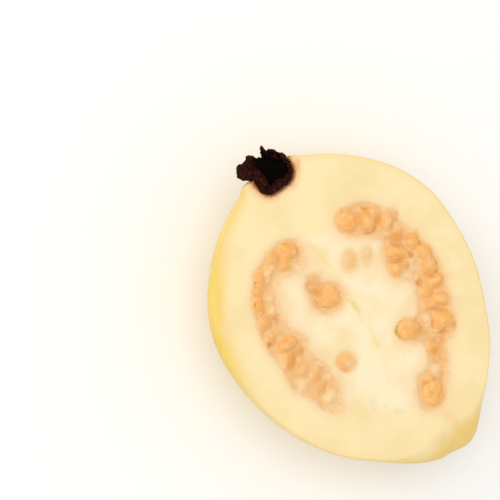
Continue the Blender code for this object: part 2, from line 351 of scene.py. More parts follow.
class Tissue(Enum):
    """What a patch of the arches consists of, or the painted shade or highlight on it; the value names its
    mask.
    """

    LIGHT = "light"  # painted highlight on a seed's ridge
    ORANGE = "orange"  # the glowing middle of a ripe seed
    GEL = "gel"  # clear pulp without a seed
    TAN = "tan"  # browner pulp
    GAP_SHADE = "gap"  # painted shade deep between the seeds
    CREASE = "crease_shade"  # painted shade, narrow, along and under a seed
    GREEN = "green"  # a small greenish speck
    STAIN = "stain"  # flesh browned by the dead calyx


@dataclass(frozen=True)
class Oval:
    """A place on the cut face with the shape of an oval, in fruit coordinates."""

    x: float
    along: float
    length: float
    width: float
    turn: float  # of its length from +X, in degrees

    def reach(self, x: np.ndarray, along: np.ndarray, bend: float = 0.0) -> np.ndarray:
        """How far out points lie, where 1 is the oval's edge.

        Args:
            x: Places across the face.
            along: Places along the fruit.
            bend: How much the oval curves, as a kidney does.

        Returns:
            The distance from the middle as a share of the oval's radius.
        """
        turn = math.radians(self.turn)
        right, up = x - self.x, self.along - along
        lengthways = (right * math.cos(turn) + up * math.sin(turn)) / (self.length / 2.0)
        sideways = (up * math.cos(turn) - right * math.sin(turn)) / (self.width / 2.0)
        sideways = sideways + bend * (1.6 * lengthways**2 - 0.5)
        return np.hypot(lengthways, sideways)


@dataclass(frozen=True)
class Seed(Oval):
    """One seed in its coat of pulp."""

    rise: float  # above the cut face
    tone: Tone = Tone.AMBER
    bend: float = 0.15


@dataclass(frozen=True)
class Patch(Oval):
    """A patch of one tissue."""

    tissue: Tissue
    strength: float = 1.0


LEFT_SEEDS = (
    Seed(-6.3, 17.2, 5.0, 3.9, -36, 0.9, Tone.BRIGHT, 0.05),
    Seed(-10.1, 16.9, 3.9, 3.5, 54, 0.5, Tone.DULL),
    Seed(-8.8, 19.1, 3.7, 3.2, -30, 0.4),
    Seed(-12.7, 18.7, 3.5, 3.1, 30, 0.3, Tone.PALE),
    Seed(-15.1, 18.2, 4.0, 2.7, 48, 0.7, Tone.BRIGHT),
    Seed(-17.2, 20.4, 3.6, 2.7, 54, 0.7, Tone.BRIGHT),
    Seed(-15.4, 22.9, 3.3, 3.1, 20, 0.3, Tone.FAINT),
    Seed(-18.9, 23.0, 4.0, 2.8, 64, 0.7, Tone.BRIGHT),
    Seed(-16.9, 25.7, 3.3, 3.0, 40, 0.3, Tone.FAINT),
    Seed(-20.0, 27.2, 3.8, 3.3, 54, 0.5, Tone.DULL),
    Seed(-20.9, 30.4, 3.4, 2.9, 20, 0.4, Tone.DULL),
    Seed(-18.6, 33.8, 5.1, 3.2, -2, 1.1, Tone.BRIGHT, 0.1),
    Seed(-20.6, 36.9, 3.9, 3.0, 40, 0.05, Tone.DULL),
    Seed(-19.2, 40.6, 3.8, 3.0, 50, 0.0, Tone.PALE),
    Seed(-16.6, 43.4, 3.4, 2.4, 30, 0.05, Tone.PALE),
    Seed(-20.7, 43.4, 3.8, 3.2, 20, 0.1, Tone.FAINT),
    Seed(-17.5, 46.0, 3.7, 2.6, 40, 0.1, Tone.PALE),
    Seed(-17.2, 49.0, 3.8, 3.1, 30, 0.05, Tone.FAINT),
)
RIGHT_SEEDS = (
    Seed(8.6, 19.7, 5.5, 5.0, 54, 1.0, Tone.BRIGHT, 0.05),
    Seed(12.6, 22.4, 6.0, 4.3, 52, 1.1, Tone.AMBER, 0.25),
    Seed(16.2, 25.2, 5.2, 3.4, 54, 0.7, Tone.DULL, 0.25),
    Seed(16.1, 29.5, 3.8, 3.2, 30, -0.3, Tone.FAINT),
    Seed(18.6, 32.2, 4.0, 3.3, 54, 0.7),
    Seed(13.9, 32.2, 6.1, 3.5, -46, 1.38, Tone.BRIGHT, 0.12),
    Seed(11.8, 35.0, 4.2, 3.7, 54, 0.6),
    Seed(14.7, 35.6, 4.4, 3.2, 20, 0.1, Tone.FAINT),
    Seed(19.2, 36.0, 4.2, 3.6, -66, 0.8),
    Seed(18.3, 39.4, 4.2, 3.8, 20, 0.9),
    Seed(17.2, 42.8, 5.4, 2.8, -4, 0.9, Tone.AMBER),
    Seed(14.4, 43.5, 3.5, 3.0, -36, 0.5),
    Seed(15.9, 46.8, 4.7, 2.9, -26, 0.8),
    Seed(12.9, 46.2, 3.3, 2.8, -36, 0.3, Tone.DULL),
    Seed(13.9, 51.1, 4.9, 4.5, -16, 1.2, Tone.BRIGHT, 0.05),
    Seed(6.0, 48.0, 5.5, 5.2, -36, 1.2, Tone.BRIGHT, 0.05),
    Seed(10.8, 48.9, 3.4, 2.6, 54, 0.2, Tone.FAINT),
    Seed(8.2, 55.0, 3.6, 2.6, -16, 0.15, Tone.AMBER, 0.3),
    Seed(5.8, 58.6, 3.2, 2.6, 54, -0.2, Tone.FAINT),
    Seed(2.6, 60.2, 4.4, 3.4, 30, 0.35),
    Seed(2.3, 63.0, 6.0, 5.4, 60, 0.7, Tone.BRIGHT, 0.0),
)
LONE_SEEDS = {
    "seed_pair": (
        Seed(-6.8, 27.2, 4.4, 3.4, 64, -0.3, Tone.FAINT),
        Seed(-4.8, 31.0, 5.6, 4.7, -46, 0.8, Tone.AMBER, 0.05),
    ),
    "seed_upper_left": (Seed(3.9, 27.4, 4.6, 3.7, 54, 0.08, Tone.PALE, 0.0),),
    "seed_upper_right": (Seed(7.9, 28.6, 4.2, 3.2, 54, 0.06, Tone.FAINT, 0.0),),
    "seed_lower": (Seed(-10.0, 45.0, 4.2, 4.0, 30, 0.5, Tone.DULL, 0.05),),
}
# For each tissue, or painted shade or highlight, its patches: x, along, length, width and turn, and the
# strength where it is less than 1.
PATCH_ROWS: dict[Tissue, tuple[tuple[float, ...], ...]] = {
    # painted highlights on the seeds
    Tissue.LIGHT: (
        (14.0, 22.4, 4.6, 1.4, 44), (16.3, 24.9, 3.4, 1.5, 50, 0.8), (17.2, 30.1, 2.2, 0.5, 54, 0.7),
        (13.6, 31.5, 4.4, 1.3, -46, 0.7), (12.8, 35.9, 3.0, 0.5, 59), (17.3, 42.2, 4.8, 1.3, -6, 0.9),
        (16.2, 46.7, 3.2, 1.6, -26, 0.9), (12.9, 52.0, 2.6, 1.6, -26, 0.7),
        (-20.9, 35.1, 3.2, 1.9, -6, 0.7), (-4.0, 31.9, 3.4, 1.6, -46, 0.6), (-9.5, 45.5, 1.7, 1.6, -36),
    ),
    Tissue.ORANGE: (
        (8.2, 20.3, 3.0, 2.6, 54, 0.7), (13.1, 21.2, 2.0, 1.8, -36, 0.8), (14.4, 32.9, 2.3, 1.2, -40, 0.9),
        (14.0, 50.6, 2.6, 1.6, -26, 0.9), (6.5, 48.4, 2.6, 2.4, -36, 0.9), (-6.3, 16.9, 4.2, 2.6, -36, 0.9),
        (-18.4, 33.6, 4.0, 1.8, -2, 0.9), (-4.8, 30.9, 2.4, 1.6, -36, 0.8),
        (-10.9, 44.1, 2.2, 2.0, 44, 0.5), (-15.3, 49.2, 1.7, 1.1, 54, 0.5),
        (-18.9, 22.5, 2.6, 1.6, 54, 0.7),
    ),
    Tissue.GEL: (
        (14.1, 27.0, 2.2, 1.6, -36), (15.4, 36.3, 3.8, 2.2, 34), (13.2, 37.8, 4.2, 2.4, -36, 0.9),
        (19.6, 38.0, 2.6, 1.4, 24, 0.8), (10.8, 48.9, 3.3, 2.3, 54), (6.0, 58.9, 3.2, 2.2, 54),
        (-6.4, 21.3, 4.4, 3.4, -36), (-12.7, 18.2, 3.4, 1.8, 10, 0.8), (-12.2, 20.4, 3.2, 2.0, -26, 0.9),
        (-15.3, 23.0, 2.9, 2.7, -36), (-16.7, 25.8, 2.6, 2.4, -36), (-20.7, 43.2, 3.6, 3.0, -36),
        (-22.2, 36.6, 3.2, 1.6, -86, 0.6), (-22.4, 43.8, 2.8, 2.2, -36, 0.8), (-17.2, 49.2, 3.4, 3.0, -36),
        (-15.4, 44.8, 2.4, 2.2, -36, 0.8), (-18.4, 51.6, 4.6, 2.4, -36, 0.8),
        # the last patch below, on the lower lone seed, is a painted highlight in the gel's colour
        (-15.0, 40.9, 3.2, 2.2, 60, 0.7), (-13.3, 47.2, 3.0, 2.0, 54, 0.8), (-9.6, 45.0, 2.6, 2.1, 20, 0.9),
    ),
    Tissue.TAN: (
        (12.1, 20.9, 2.6, 2.0, 54), (18.6, 25.3, 3.0, 2.0, 54, 0.8), (10.3, 53.9, 4.0, 2.4, -36),
        (-17.2, 27.6, 3.4, 1.8, 54), (-19.6, 26.8, 4.2, 3.2, 84, 0.8), (-10.2, 16.9, 2.6, 2.2, 24, 0.8),
        (-20.2, 38.1, 4.2, 2.6, 60), (-21.2, 30.0, 3.8, 2.2, -60), (-17.4, 44.1, 3.6, 2.0, -80, 0.9),
        (-9.3, 18.0, 3.6, 2.2, 20), (-17.0, 37.0, 3.4, 2.2, 44), (-17.7, 45.7, 2.8, 2.0, -56),
        (-16.5, 42.9, 3.0, 1.3, 24), (8.6, 54.4, 3.4, 2.2, 20, 0.8), (7.6, 57.2, 3.6, 2.4, 50, 0.6),
        (8.3, 50.9, 3.2, 2.4, 50, 0.5), (-6.6, 27.0, 3.9, 2.8, 64, 0.9),
    ),
    # painted shade deep between the seeds
    Tissue.GAP_SHADE: (
        (-20.2, 38.1, 2.0, 1.4, 60, 0.5), (15.8, 29.7, 5.2, 3.2, -36, 0.9), (15.6, 29.7, 3.0, 2.0, -36),
        (16.3, 34.8, 1.5, 1.7, -36), (19.5, 33.8, 1.2, 1.2, -36, 0.7), (14.4, 41.0, 2.0, 2.0, -36, 0.9),
        (19.0, 41.1, 1.5, 1.1, -16, 0.8), (17.4, 41.2, 1.5, 1.0, -16, 0.7), (8.1, 55.1, 2.2, 1.6, -16, 0.7),
        (13.4, 19.9, 1.8, 1.1, -36, 0.8), (2.2, 59.9, 1.6, 1.1, -6, 0.8), (4.3, 60.4, 1.2, 1.1, -36, 0.7),
        (1.7, 62.5, 1.4, 1.0, -36, 0.6), (-19.7, 37.3, 4.6, 2.2, 28, 0.7), (-19.7, 37.3, 2.2, 1.4, 28, 0.5),
        (-21.9, 31.5, 1.5, 1.6, -36, 0.9), (-16.9, 19.0, 0.9, 1.0, -36, 0.7), (-6.3, 28.6, 3.0, 1.8, -50),
    ),
    # painted shade along and under the seeds
    Tissue.CREASE: (
        (11.2, 21.0, 4.2, 0.9, 60, 0.5), (14.9, 23.8, 3.2, 1.0, 44, 0.9), (12.8, 25.0, 2.8, 1.0, 14, 0.9),
        (10.8, 24.8, 2.4, 0.8, -36, 0.8), (14.9, 30.9, 4.2, 0.6, -44, 0.6), (12.6, 33.8, 3.8, 1.0, -36),
        (14.2, 36.1, 2.2, 1.1, 54, 0.7), (20.1, 38.1, 2.0, 1.2, -86, 0.4), (14.4, 48.3, 5.6, 1.1, -39, 0.7),
        (11.6, 50.1, 3.6, 0.6, 60, 0.7), (12.3, 53.3, 3.6, 0.9, -26, 0.9), (15.3, 53.6, 2.6, 0.9, 44, 0.8),
        (1.3, 60.0, 3.4, 0.8, 44, 0.7), (-4.6, 18.5, 2.4, 0.7, 54, 0.6), (-7.2, 26.4, 3.0, 0.6, 80, 0.5),
        (-5.0, 27.9, 2.2, 0.5, 74, 0.5), (-6.8, 32.4, 3.6, 0.6, -41, 0.6), (-7.7, 30.2, 2.4, 0.6, 84, 0.5),
        (-8.4, 46.6, 2.4, 0.7, 49, 0.4), (-11.4, 46.2, 2.6, 0.9, -50, 0.5),
    ),
    Tissue.GREEN: (
        (8.9, 17.3, 1.5, 0.5, 9, 0.5), (13.4, 19.7, 1.2, 0.7, -36, 0.35), (14.2, 30.9, 1.9, 0.5, -40, 0.4),
        (19.9, 39.5, 0.7, 0.8, -36, 0.7), (-6.2, 15.4, 1.5, 0.5, -28, 0.6),
        (-16.5, 18.4, 0.6, 0.8, 54, 0.9), (-19.5, 22.3, 1.3, 0.6, 54, 0.8),
        (-21.9, 31.4, 0.7, 0.7, -36, 0.6), (5.2, 45.3, 2.0, 0.5, 0, 0.4), (4.1, 45.7, 1.6, 0.7, 32, 0.8),
        (3.4, 46.5, 2.0, 0.9, 66), (3.3, 47.8, 1.8, 0.6, -86, 0.8),
    ),
    Tissue.STAIN: (
        (7.0, 2.6, 2.6, 2.0, 50, 0.8), (6.4, 3.4, 2.2, 1.6, 50, 0.9), (-4.3, 0.9, 1.6, 1.2, 80, 0.8),
    ),
}
PATCHES = tuple(Patch(*row[:5], tissue, *row[5:]) for tissue, rows in PATCH_ROWS.items() for row in rows)


@dataclass(frozen=True)
class Region:
    """A part of the cut face inside a smooth loop of points (x, along)."""

    loop: Knots

    def outside(self, x: np.ndarray, along: np.ndarray) -> np.ndarray:
        """Distance outside the loop, negative inside it.

        Args:
            x: Places across the face.
            along: Places along the fruit.

        Returns:
            The distances in millimetres.
        """
        path = smooth_path((*self.loop, self.loop[0]), 260, closed=True)
        away = path_distance(path, x, along)
        inside = np.zeros(len(x), bool)
        for (ax, ay), (bx, by) in zip(path, path[1:]):
            if ay != by:
                crossing = (bx - ax) * (along - ay) / (by - ay) + ax
                inside ^= ((ay > along) != (by > along)) & (x < crossing)
        return np.where(inside, -away, away)


LEFT_ARCH = Region(
    (
        (-3.2, 16.6), (-4.9, 15.0), (-7.3, 14.4), (-10.0, 14.7), (-12.7, 15.6), (-15.2, 16.8),
        (-17.3, 18.6), (-19.4, 21.2), (-21.2, 25.0), (-22.5, 28.5), (-23.0, 32.5), (-23.0, 38.3),
        (-23.4, 43.0), (-21.4, 47.2), (-20.4, 50.4), (-17.4, 53.2), (-15.8, 51.2), (-14.0, 48.0),
        (-13.9, 45.0), (-14.4, 41.0), (-15.0, 37.5), (-14.2, 34.6), (-15.7, 31.5), (-15.5, 27.8),
        (-14.4, 24.6), (-12.6, 21.9), (-9.4, 21.5), (-7.0, 22.6), (-4.6, 22.1), (-3.3, 19.6),
    )
)
RIGHT_ARCH = Region(
    (
        (6.3, 19.0), (7.1, 17.5), (9.0, 16.8), (12.4, 17.6), (15.6, 19.8), (17.6, 23.2), (18.7, 27.1),
        (20.1, 31.3), (21.1, 36.1), (20.8, 40.7), (19.0, 45.6), (17.3, 49.7), (16.5, 52.6), (14.4, 54.8),
        (11.3, 55.7), (10.5, 57.4), (8.9, 59.9), (7.0, 62.2), (4.6, 64.9), (1.6, 66.2), (-1.7, 65.0),
        (-1.2, 61.3), (1.2, 58.2), (4.2, 57.3), (6.0, 55.4), (6.8, 53.5), (6.5, 51.9), (5.0, 50.6),
        (5.0, 47.2), (6.6, 45.9), (8.6, 46.4), (10.4, 45.6), (11.5, 43.0), (12.9, 40.4), (11.6, 37.9),
        (9.8, 36.2), (10.1, 33.6), (11.2, 30.6), (12.7, 28.0), (10.8, 26.1), (7.6, 23.3), (6.2, 21.3),
    )
)
PAIR = Region(
    (
        (-6.8, 24.6), (-8.1, 28.1), (-9.0, 31.1), (-7.4, 33.3), (-4.9, 34.5), (-2.4, 33.6), (-1.3, 31.2),
        (-2.3, 28.7), (-3.9, 27.1), (-4.0, 25.3), (-6.0, 24.1),
    )
)
CORE = Region(
    (
        (2.0, 19.0), (-4.0, 16.5), (-12.0, 18.5), (-18.4, 27.0), (-20.0, 38.0), (-17.6, 48.0),
        (-13.5, 54.5), (-8.5, 59.0), (-3.5, 62.5), (1.0, 63.0), (5.2, 58.6), (13.6, 49.5), (18.0, 36.0),
        (14.5, 25.0), (8.2, 19.8),
    )
)


@dataclass(frozen=True)
class FruitForm:
    """The outer form of the whole fruit: four outlines, (along, away from the axis), round its axis."""

    right: Knots = (
        (0.9, 0.0), (0.3, 5.2), (0.3, 6.4), (1.6, 8.3), (5.2, 14.1), (9.8, 19.5), (16.5, 25.1),
        (25.5, 28.9), (35.0, 29.4), (44.4, 28.1), (52.5, 25.1), (60.5, 20.9), (66.0, 16.4), (71.4, 11.4),
        (76.2, 7.0), (79.2, 3.2), (79.3, 0.0),
    )
    left: Knots = (
        (0.9, 0.0), (0.2, 5.0), (-0.1, 6.1), (1.6, 8.6), (5.0, 15.6), (10.8, 22.5), (18.0, 28.1),
        (26.0, 31.4), (35.0, 32.2), (44.0, 31.2), (52.8, 28.4), (61.5, 23.4), (69.0, 16.7), (74.1, 11.6),
        (77.3, 7.2), (79.0, 3.0), (79.3, 0.0),
    )
    back: Knots = (
        (0.9, 0.0), (0.2, 5.0), (0.0, 6.2), (1.4, 8.4), (4.5, 12.9), (9.0, 17.6), (16.0, 22.4),
        (25.0, 25.2), (36.0, 26.2), (46.0, 25.0), (55.0, 21.6), (63.0, 17.2), (70.0, 12.4), (75.0, 8.6),
        (78.3, 4.8), (79.4, 2.2), (79.3, 0.0),
    )
    front: Knots = (
        (0.9, 0.0), (0.2, 5.0), (0.0, 6.2), (1.4, 8.4), (4.5, 12.4), (9.0, 15.6), (16.0, 17.6),
        (25.0, 18.5), (36.0, 18.8), (46.0, 17.8), (54.0, 15.0), (61.0, 11.4), (67.0, 8.2), (72.4, 5.4),
        (76.2, 4.2), (79.2, 2.0), (79.3, 0.0),
    )
    length: float = 79.6
    widest_under_face: float = 2.5
    widest_from: float = 22.0
    bend_start: float = 58.0
    bend_down: float = 6.3
    bend_aside: float = 2.2
    bend_power: float = 1.6
    square_from: float = 54.0
    square_to: float = 68.0
    squareness: float = 4.0
    flutes: int = 5
    stem_flute: float = 0.04
    stem_flute_start: float = 62.0
    neck_flute: float = 0.03
    neck_flute_end: float = 18.0
    swelling: float = 0.008
    cut_end: float = 70.6  # beyond it the cut face narrows towards the nub's shoulders
    rings: int = 236
    skin_steps: int = 136
    face_steps: int = 232

    def sections(self, samples: int = 720) -> np.ndarray:
        """The rings of the whole fruit, closely sampled.

        Args:
            samples: Points round a ring, from the left, over the top to the right and back underneath.

        Returns:
            Rings x samples x (x, along, up) in fruit coordinates; the angle falls from pi to -pi.
        """
        outlines = (self.right, self.left, self.back, self.front)
        right, left, back, front = (smooth_path(knots, self.rings + 1, True)[:, None] for knots in outlines)
        angle = np.linspace(math.pi, -math.pi, samples + 1)[None, :]
        across, upward = np.cos(angle), np.sin(angle)
        side = np.where((across > 0.0)[..., None], right, left)
        depth = np.where((upward > 0.0)[..., None], front, back)
        along = side[..., 0] * across**2 + depth[..., 0] * upward**2
        bend = np.maximum(0.0, (along - self.bend_start) / (self.length - self.bend_start)) ** self.bend_power
        under = self.widest_under_face * smoothstep(0.0, self.widest_from, along) + self.bend_down * bend
        power = 2.0 + (self.squareness - 2.0) * smoothstep(self.square_from, self.square_to, along)
        boxy = (np.abs(across) ** power + np.abs(upward) ** power) ** (-1.0 / power)
        reach = np.where(upward > 0.0, boxy, 1.0) * self.unevenness(along, angle)
        x = self.bend_aside * bend + side[..., 1] * across * reach
        return np.stack([x, along, depth[..., 1] * upward * reach - under], axis=-1)

    def unevenness(self, along: np.ndarray, angle: np.ndarray) -> np.ndarray:
        """The factor on the radius for flutes near both ends and swellings of the back.

        Args:
            along: Places along the fruit.
            angle: Angles round the axis.

        Returns:
            Factors close to 1.
        """
        flute = self.stem_flute * smoothstep(self.stem_flute_start, self.length - 4.0, along)
        flute = flute + self.neck_flute * (1.0 - smoothstep(2.0, self.neck_flute_end, along))
        swell = np.sin(along * 0.11 + 1.0) * np.cos(2.0 * angle) + np.sin(3.0 * angle + along * 0.07)
        return 1.0 + (flute * np.cos(self.flutes * angle + 0.6) + self.swelling * swell) * np.sin(angle) ** 2

    def cut_rings(self) -> tuple[np.ndarray, np.ndarray, int]:
        """The rings of the half fruit: the peel underneath and, across the top, the cut face or the nub.

        Returns:
            Rings x steps x 3 in fruit coordinates, the first skin_steps of them peel, for each ring
            whether the line between peel and top is the edge of the cut, and the number of the rim's ring.
        """
        whole = self.sections()
        angle = np.linspace(math.pi, -math.pi, whole.shape[1])
        top = np.argmin(np.abs(angle - math.pi / 2.0))
        flat = np.argmin(np.abs(angle))
        rings, cut = [], []
        left, right = 1, flat - 1
        for ring in whole:
            on_plane = ring[left, 1] < self.cut_end and ring[:flat, 2].max() > 0.0
            if on_plane:
                left = max(1, int(np.argmax(ring[:top, 2] > 0.0)))
                right = flat - max(1, int(np.argmax(ring[flat:top:-1, 2] > 0.0)))
            start, end = ring[left], ring[right]
            if on_plane:
                start, end = self.meeting(ring[left - 1], start), self.meeting(ring[right + 1], end)
            peel = np.concatenate([[end], ring[right + 1 :], ring[1:left], [start]])
            over = np.concatenate([[start], ring[left : right + 1], [end]])
            across = np.linspace(start[0], end[0], self.face_steps + 1)[:-1]
            order = np.argsort(over[:, 0], kind="stable")
            rest = [np.interp(across, over[order, 0], over[order, i]) for i in (1, 2)]
            over = np.stack([across, *rest], axis=1)
            ring = np.concatenate([even_points(peel, self.skin_steps + 1)[:-1], over])
            ring[:, 2] = np.minimum(ring[:, 2], 0.0)
            rings.append(ring)
            cut.append(on_plane)
        rings, cut = np.array(rings), np.array(cut)
        return rings, cut, self.level_mouth(rings, cut)

    def level_mouth(self, rings: np.ndarray, cut: np.ndarray) -> int:
        """Levels the end at the calyx, so that the rings inside its rim meet the cut face in one line.

        Args:
            rings: The rings of the half fruit.
            cut: Whether each ring's line between peel and top is the edge of the cut.

        Returns:
            The number of the rim's ring.
        """
        first = self.skin_steps
        rim = int(np.argmin(rings[: self.rings // 4, 0, 1] + rings[: self.rings // 4, first, 1]))
        row = rings[rim, first:]
        for ring, on_plane in zip(rings[:rim], cut):
            for end in (0, first) if on_plane else ():
                ring[end] = row[np.argmin(np.abs(row[:, 0] - ring[end, 0]))]
            ring[:, 1] = np.interp(ring[:, 0], row[:, 0], row[:, 1])
        return rim

    @staticmethod
    def meeting(low: np.ndarray, high: np.ndarray) -> np.ndarray:
        """Where the line between a point under the cut face and one above it meets the face.

        Args:
            low: The point under the face.
            high: The point above it.

        Returns:
            The meeting point.
        """
        drop = high[2] - low[2]
        share = -low[2] / drop if abs(drop) > 1e-9 else 0.0
        point = low + (high - low) * np.clip(share, 0.0, 1.0)
        point[2] = 0.0
        return point


@dataclass(frozen=True)
class CutFace:
    """What shows on the cut face: pulp round the seeds, the lighter core, fibres, and the calyx's stain."""

    fibre: Knots = (
        (-1.3, 19.0), (-0.8, 23.3), (-0.3, 27.7), (-0.9, 32.4), (-1.2, 36.7), (-1.4, 41.9), (-1.8, 46.0),
    )
    mark: Knots = ((-1.6, 34.0), (-1.1, 35.5), (-1.0, 37.2))
    strand: Knots = ((2.2, 63.5), (1.6, 67.0), (2.2, 70.5), (2.8, 74.0))
    specks: tuple[tuple[float, float, float], ...] = (
        (-10.4, 56.4, 0.9), (-10.9, 57.8, 0.7), (-6.7, 60.8, 0.8), (-5.9, 62.0, 0.6), (-8.4, 58.6, 0.5),
    )
    cup_x: float = 0.95
    cup_radius: float = 4.45
    cup_oval: float = 1.14  # how much deeper than wide the hollow is
    cup_depth: float = 5.3
    cup_round: float = 3.0
    bed_depth: float = 1.2  # of the hollow in the flesh that the pulp and seeds fill
    highest: float = 1.395  # of any seed above the cut face
    blend: float = 0.2  # how softly seeds merge, in millimetres
    pulp_level: float = -0.3  # of the pulp between the seeds, above the cut face
    seed_foot: float = 0.5  # how far the dome of a seed reaches down under the cut face
    slope_from: float = 69.5  # where the flesh begins to fall towards the nub, and painted light begins
    slope_to: float = 71.5
    stain_half: float = 1.7  # the stain surrounds a block this wide to each side of the cup's middle
    stain_along: float = 2.0  # the block's end, along the fruit
    stain_radius: float = 3.0  # how far round the block the stain is full

    def bore(self, x: np.ndarray, along: np.ndarray) -> np.ndarray:
        """Depth of the hollow that the calyx lines.

        Args:
            x: Places across the face.
            along: Places along the fruit.

        Returns:
            Millimetres under the cut face, 0 outside the hollow.
        """
        inward = np.clip((along - self.cup_depth + self.cup_round) / self.cup_round, 0.0, 1.0)
        radius = self.cup_radius - self.cup_round * (1.0 - np.sqrt(1.0 - inward**2))
        radius = np.where(along > self.cup_depth, 0.0, radius)
        return np.sqrt(np.maximum(0.0, radius**2 - (x - self.cup_x) ** 2)) * self.cup_oval

    @staticmethod
    def wander(x: np.ndarray, along: np.ndarray, pattern: float = 1.0) -> np.ndarray:
        """Uneven shifts, in millimetres, that keep the edges of tissues from being clean curves.

        Args:
            x: Places across the face.
            along: Places along the fruit.
            pattern: Which of many patterns.

        Returns:
            A shift for each point.
        """
        flat = np.stack([x, along], axis=1)
        return noise_at(flat, 2.4, pattern) * 0.45 + noise_at(flat, 0.8, pattern + 0.5, 3) * 0.32

    @staticmethod
    def sunny_side(x: np.ndarray, along: np.ndarray) -> np.ndarray:
        """Where the flesh is yellow to some depth under a peel that ripened in the sun.

        Args:
            x: Places across the face.
            along: Places along the fruit.

        Returns:
            Shares from 0 to 1, highest on the left shoulder, towards the blossom end.
        """
        shoulder = smoothstep(44.0, 24.0, along) * (0.4 + 0.6 * smoothstep(3.0, 15.0, along))
        return smoothstep(5.0, -8.0, x) * shoulder

    @staticmethod
    def every_seed() -> list[Seed]:
        """All seeds of the cut face."""
        return [*LEFT_SEEDS, *RIGHT_SEEDS, *(seed for group in LONE_SEEDS.values() for seed in group)]

    def masks(self, x: np.ndarray, along: np.ndarray, edge: np.ndarray) -> dict[str, np.ndarray]:
        """Shares of each kind of tissue, and of painted shade, highlight and light, at points of the face.

        Args:
            x: Places across the face.
            along: Places along the fruit.
            edge: Distances from the edge of the cut face.

        Returns:
            The masks by name, 0 to 1, and under the name beyond the distance outside the pulp.
        """
        wander, drift = self.wander(x, along), self.wander(x, along, 8.0)
        arches = np.minimum(LEFT_ARCH.outside(x, along), RIGHT_ARCH.outside(x, along)) + wander * 0.6
        pair = PAIR.outside(x, along) + wander * 0.6
        beyond = np.minimum(arches, pair)
        core = smoothstep(2.0, -1.5, CORE.outside(x, along) + wander * 2.0)
        blur = np.minimum(arches / (1.0 + 0.7 * core), pair - 0.3) + drift * 0.55
        masks = {tissue.value: np.zeros(len(x)) for tissue in Tissue}
        masks["amber"] = np.zeros(len(x))
        masks |= {"pulp": smoothstep(0.9, -1.3, blur), "halo": smoothstep(2.6, -0.4, blur), "core": core}
        for seed in self.every_seed():
            beyond = np.minimum(beyond, self.show_seed(masks, seed, x, along, wander, drift))
        for patch in PATCHES:
            name, warp = patch.tissue.value, min(0.9, 0.45 * patch.width)
            reach = patch.reach(x + wander * warp, along + drift * warp)
            masks[name] = np.maximum(masks[name], patch.strength * smoothstep(1.3, 0.35, reach))
        masks |= self.marks(x, along, wander, drift)
        for name in ("fibre", "strand"):
            masks[name] = masks[name] * (1.0 - masks["pulp"])
        aside = np.maximum(np.abs(x - self.cup_x) - self.stain_half, 0.0)
        cup = np.hypot(aside, np.maximum(along - self.stain_along, 0.0)) - self.stain_radius
        side = self.sunny_side(x, along)
        masks |= {
            "stain": np.maximum(masks["stain"], smoothstep(2.6, 0.0, cup + wander * 0.9)),
            "scorch": smoothstep(1.1, 0.0, cup + wander * 0.6),
            "under_peel": smoothstep(2.2 + 2.2 * side, 1.2 * side, edge) * (0.2 + 0.8 * side),
            # painted light: lifts the colour of the flesh that falls towards the nub
            "slope_painted_light": smoothstep(self.slope_from, self.slope_to, along),
            "beyond": beyond,
        }
        return masks

    @staticmethod
    def show_seed(
        masks: dict[str, np.ndarray],
        seed: Seed,
        x: np.ndarray,
        along: np.ndarray,
        wander: np.ndarray,
        drift: np.ndarray,
    ) -> np.ndarray:
        """Raises the masks where a seed shows through its pulp, with a ring of painted highlight on seeds
        with an orange middle.

        Args:
            masks: The masks, which it changes.
            seed: The seed.
            x: Places across the face.
            along: Places along the fruit.
            wander: Uneven shifts of the places.
            drift: Other such shifts.

        Returns:
            Distances outside the seed.
        """
        amber, orange = seed.tone.value
        span = min(seed.length, seed.width) / 2.0
        veil = min(1.0, 0.35 + 1.2 * amber)
        reach = seed.reach(x + wander * 0.5, along + drift * 0.5, seed.bend)
        ring = smoothstep(0.3, 0.0, np.abs(reach - 0.72)) * smoothstep(-0.4, 0.6, drift)
        for name, share in (
            ("pulp", veil * smoothstep(1.0 + 0.8 / span, 1.0 - 0.9 / span, reach)),
            ("halo", veil * smoothstep(1.0 + 2.0 / span, 1.0, reach)),
            ("amber", amber * smoothstep(1.35, 0.7, reach)),
            ("orange", 0.8 * orange * smoothstep(0.65, 0.1, reach)),
            # painted highlight: a ring part way out from the seed's middle
            ("light", 0.8 * orange * ring),
        ):
            masks[name] = np.maximum(masks[name], share)
        return (seed.reach(x, along, seed.bend) - 1.0) * span - 0.15 + wander * 0.25

    def marks(
        self, x: np.ndarray, along: np.ndarray, wander: np.ndarray, drift: np.ndarray
    ) -> dict[str, np.ndarray]:
        """Masks of the fibres, the pale specks and the yellow mark in the middle of the core.

        Args:
            x: Places across the face.
            along: Places along the fruit.
            wander: Uneven shifts of the places.
            drift: Other such shifts.

        Returns:
            The masks by name, 0 to 1.
        """
        speck = np.zeros(len(x))
        for sx, sa, radius in self.specks:
            away = np.hypot(x - sx + wander, along - sa + drift)
            speck = np.maximum(speck, smoothstep(radius * 1.5, radius * 0.4, away))
        fibre, mark, strand = (
            path_distance(smooth_path(knots, count), x, along)
            for knots, count in ((self.fibre, 60), (self.mark, 20), (self.strand, 40))
        )
        broken = 0.35 + 0.65 * smoothstep(-0.3, 0.5, noise_at(np.stack([x, along], axis=1), 3.5, 9.0))
        return {
            "speck": speck,
            "fibre": broken * smoothstep(1.3, 0.0, fibre + wander),
            "mark": smoothstep(1.0, 0.1, mark + wander * 0.6),
            "strand": smoothstep(1.8, 0.2, strand + wander),
        }

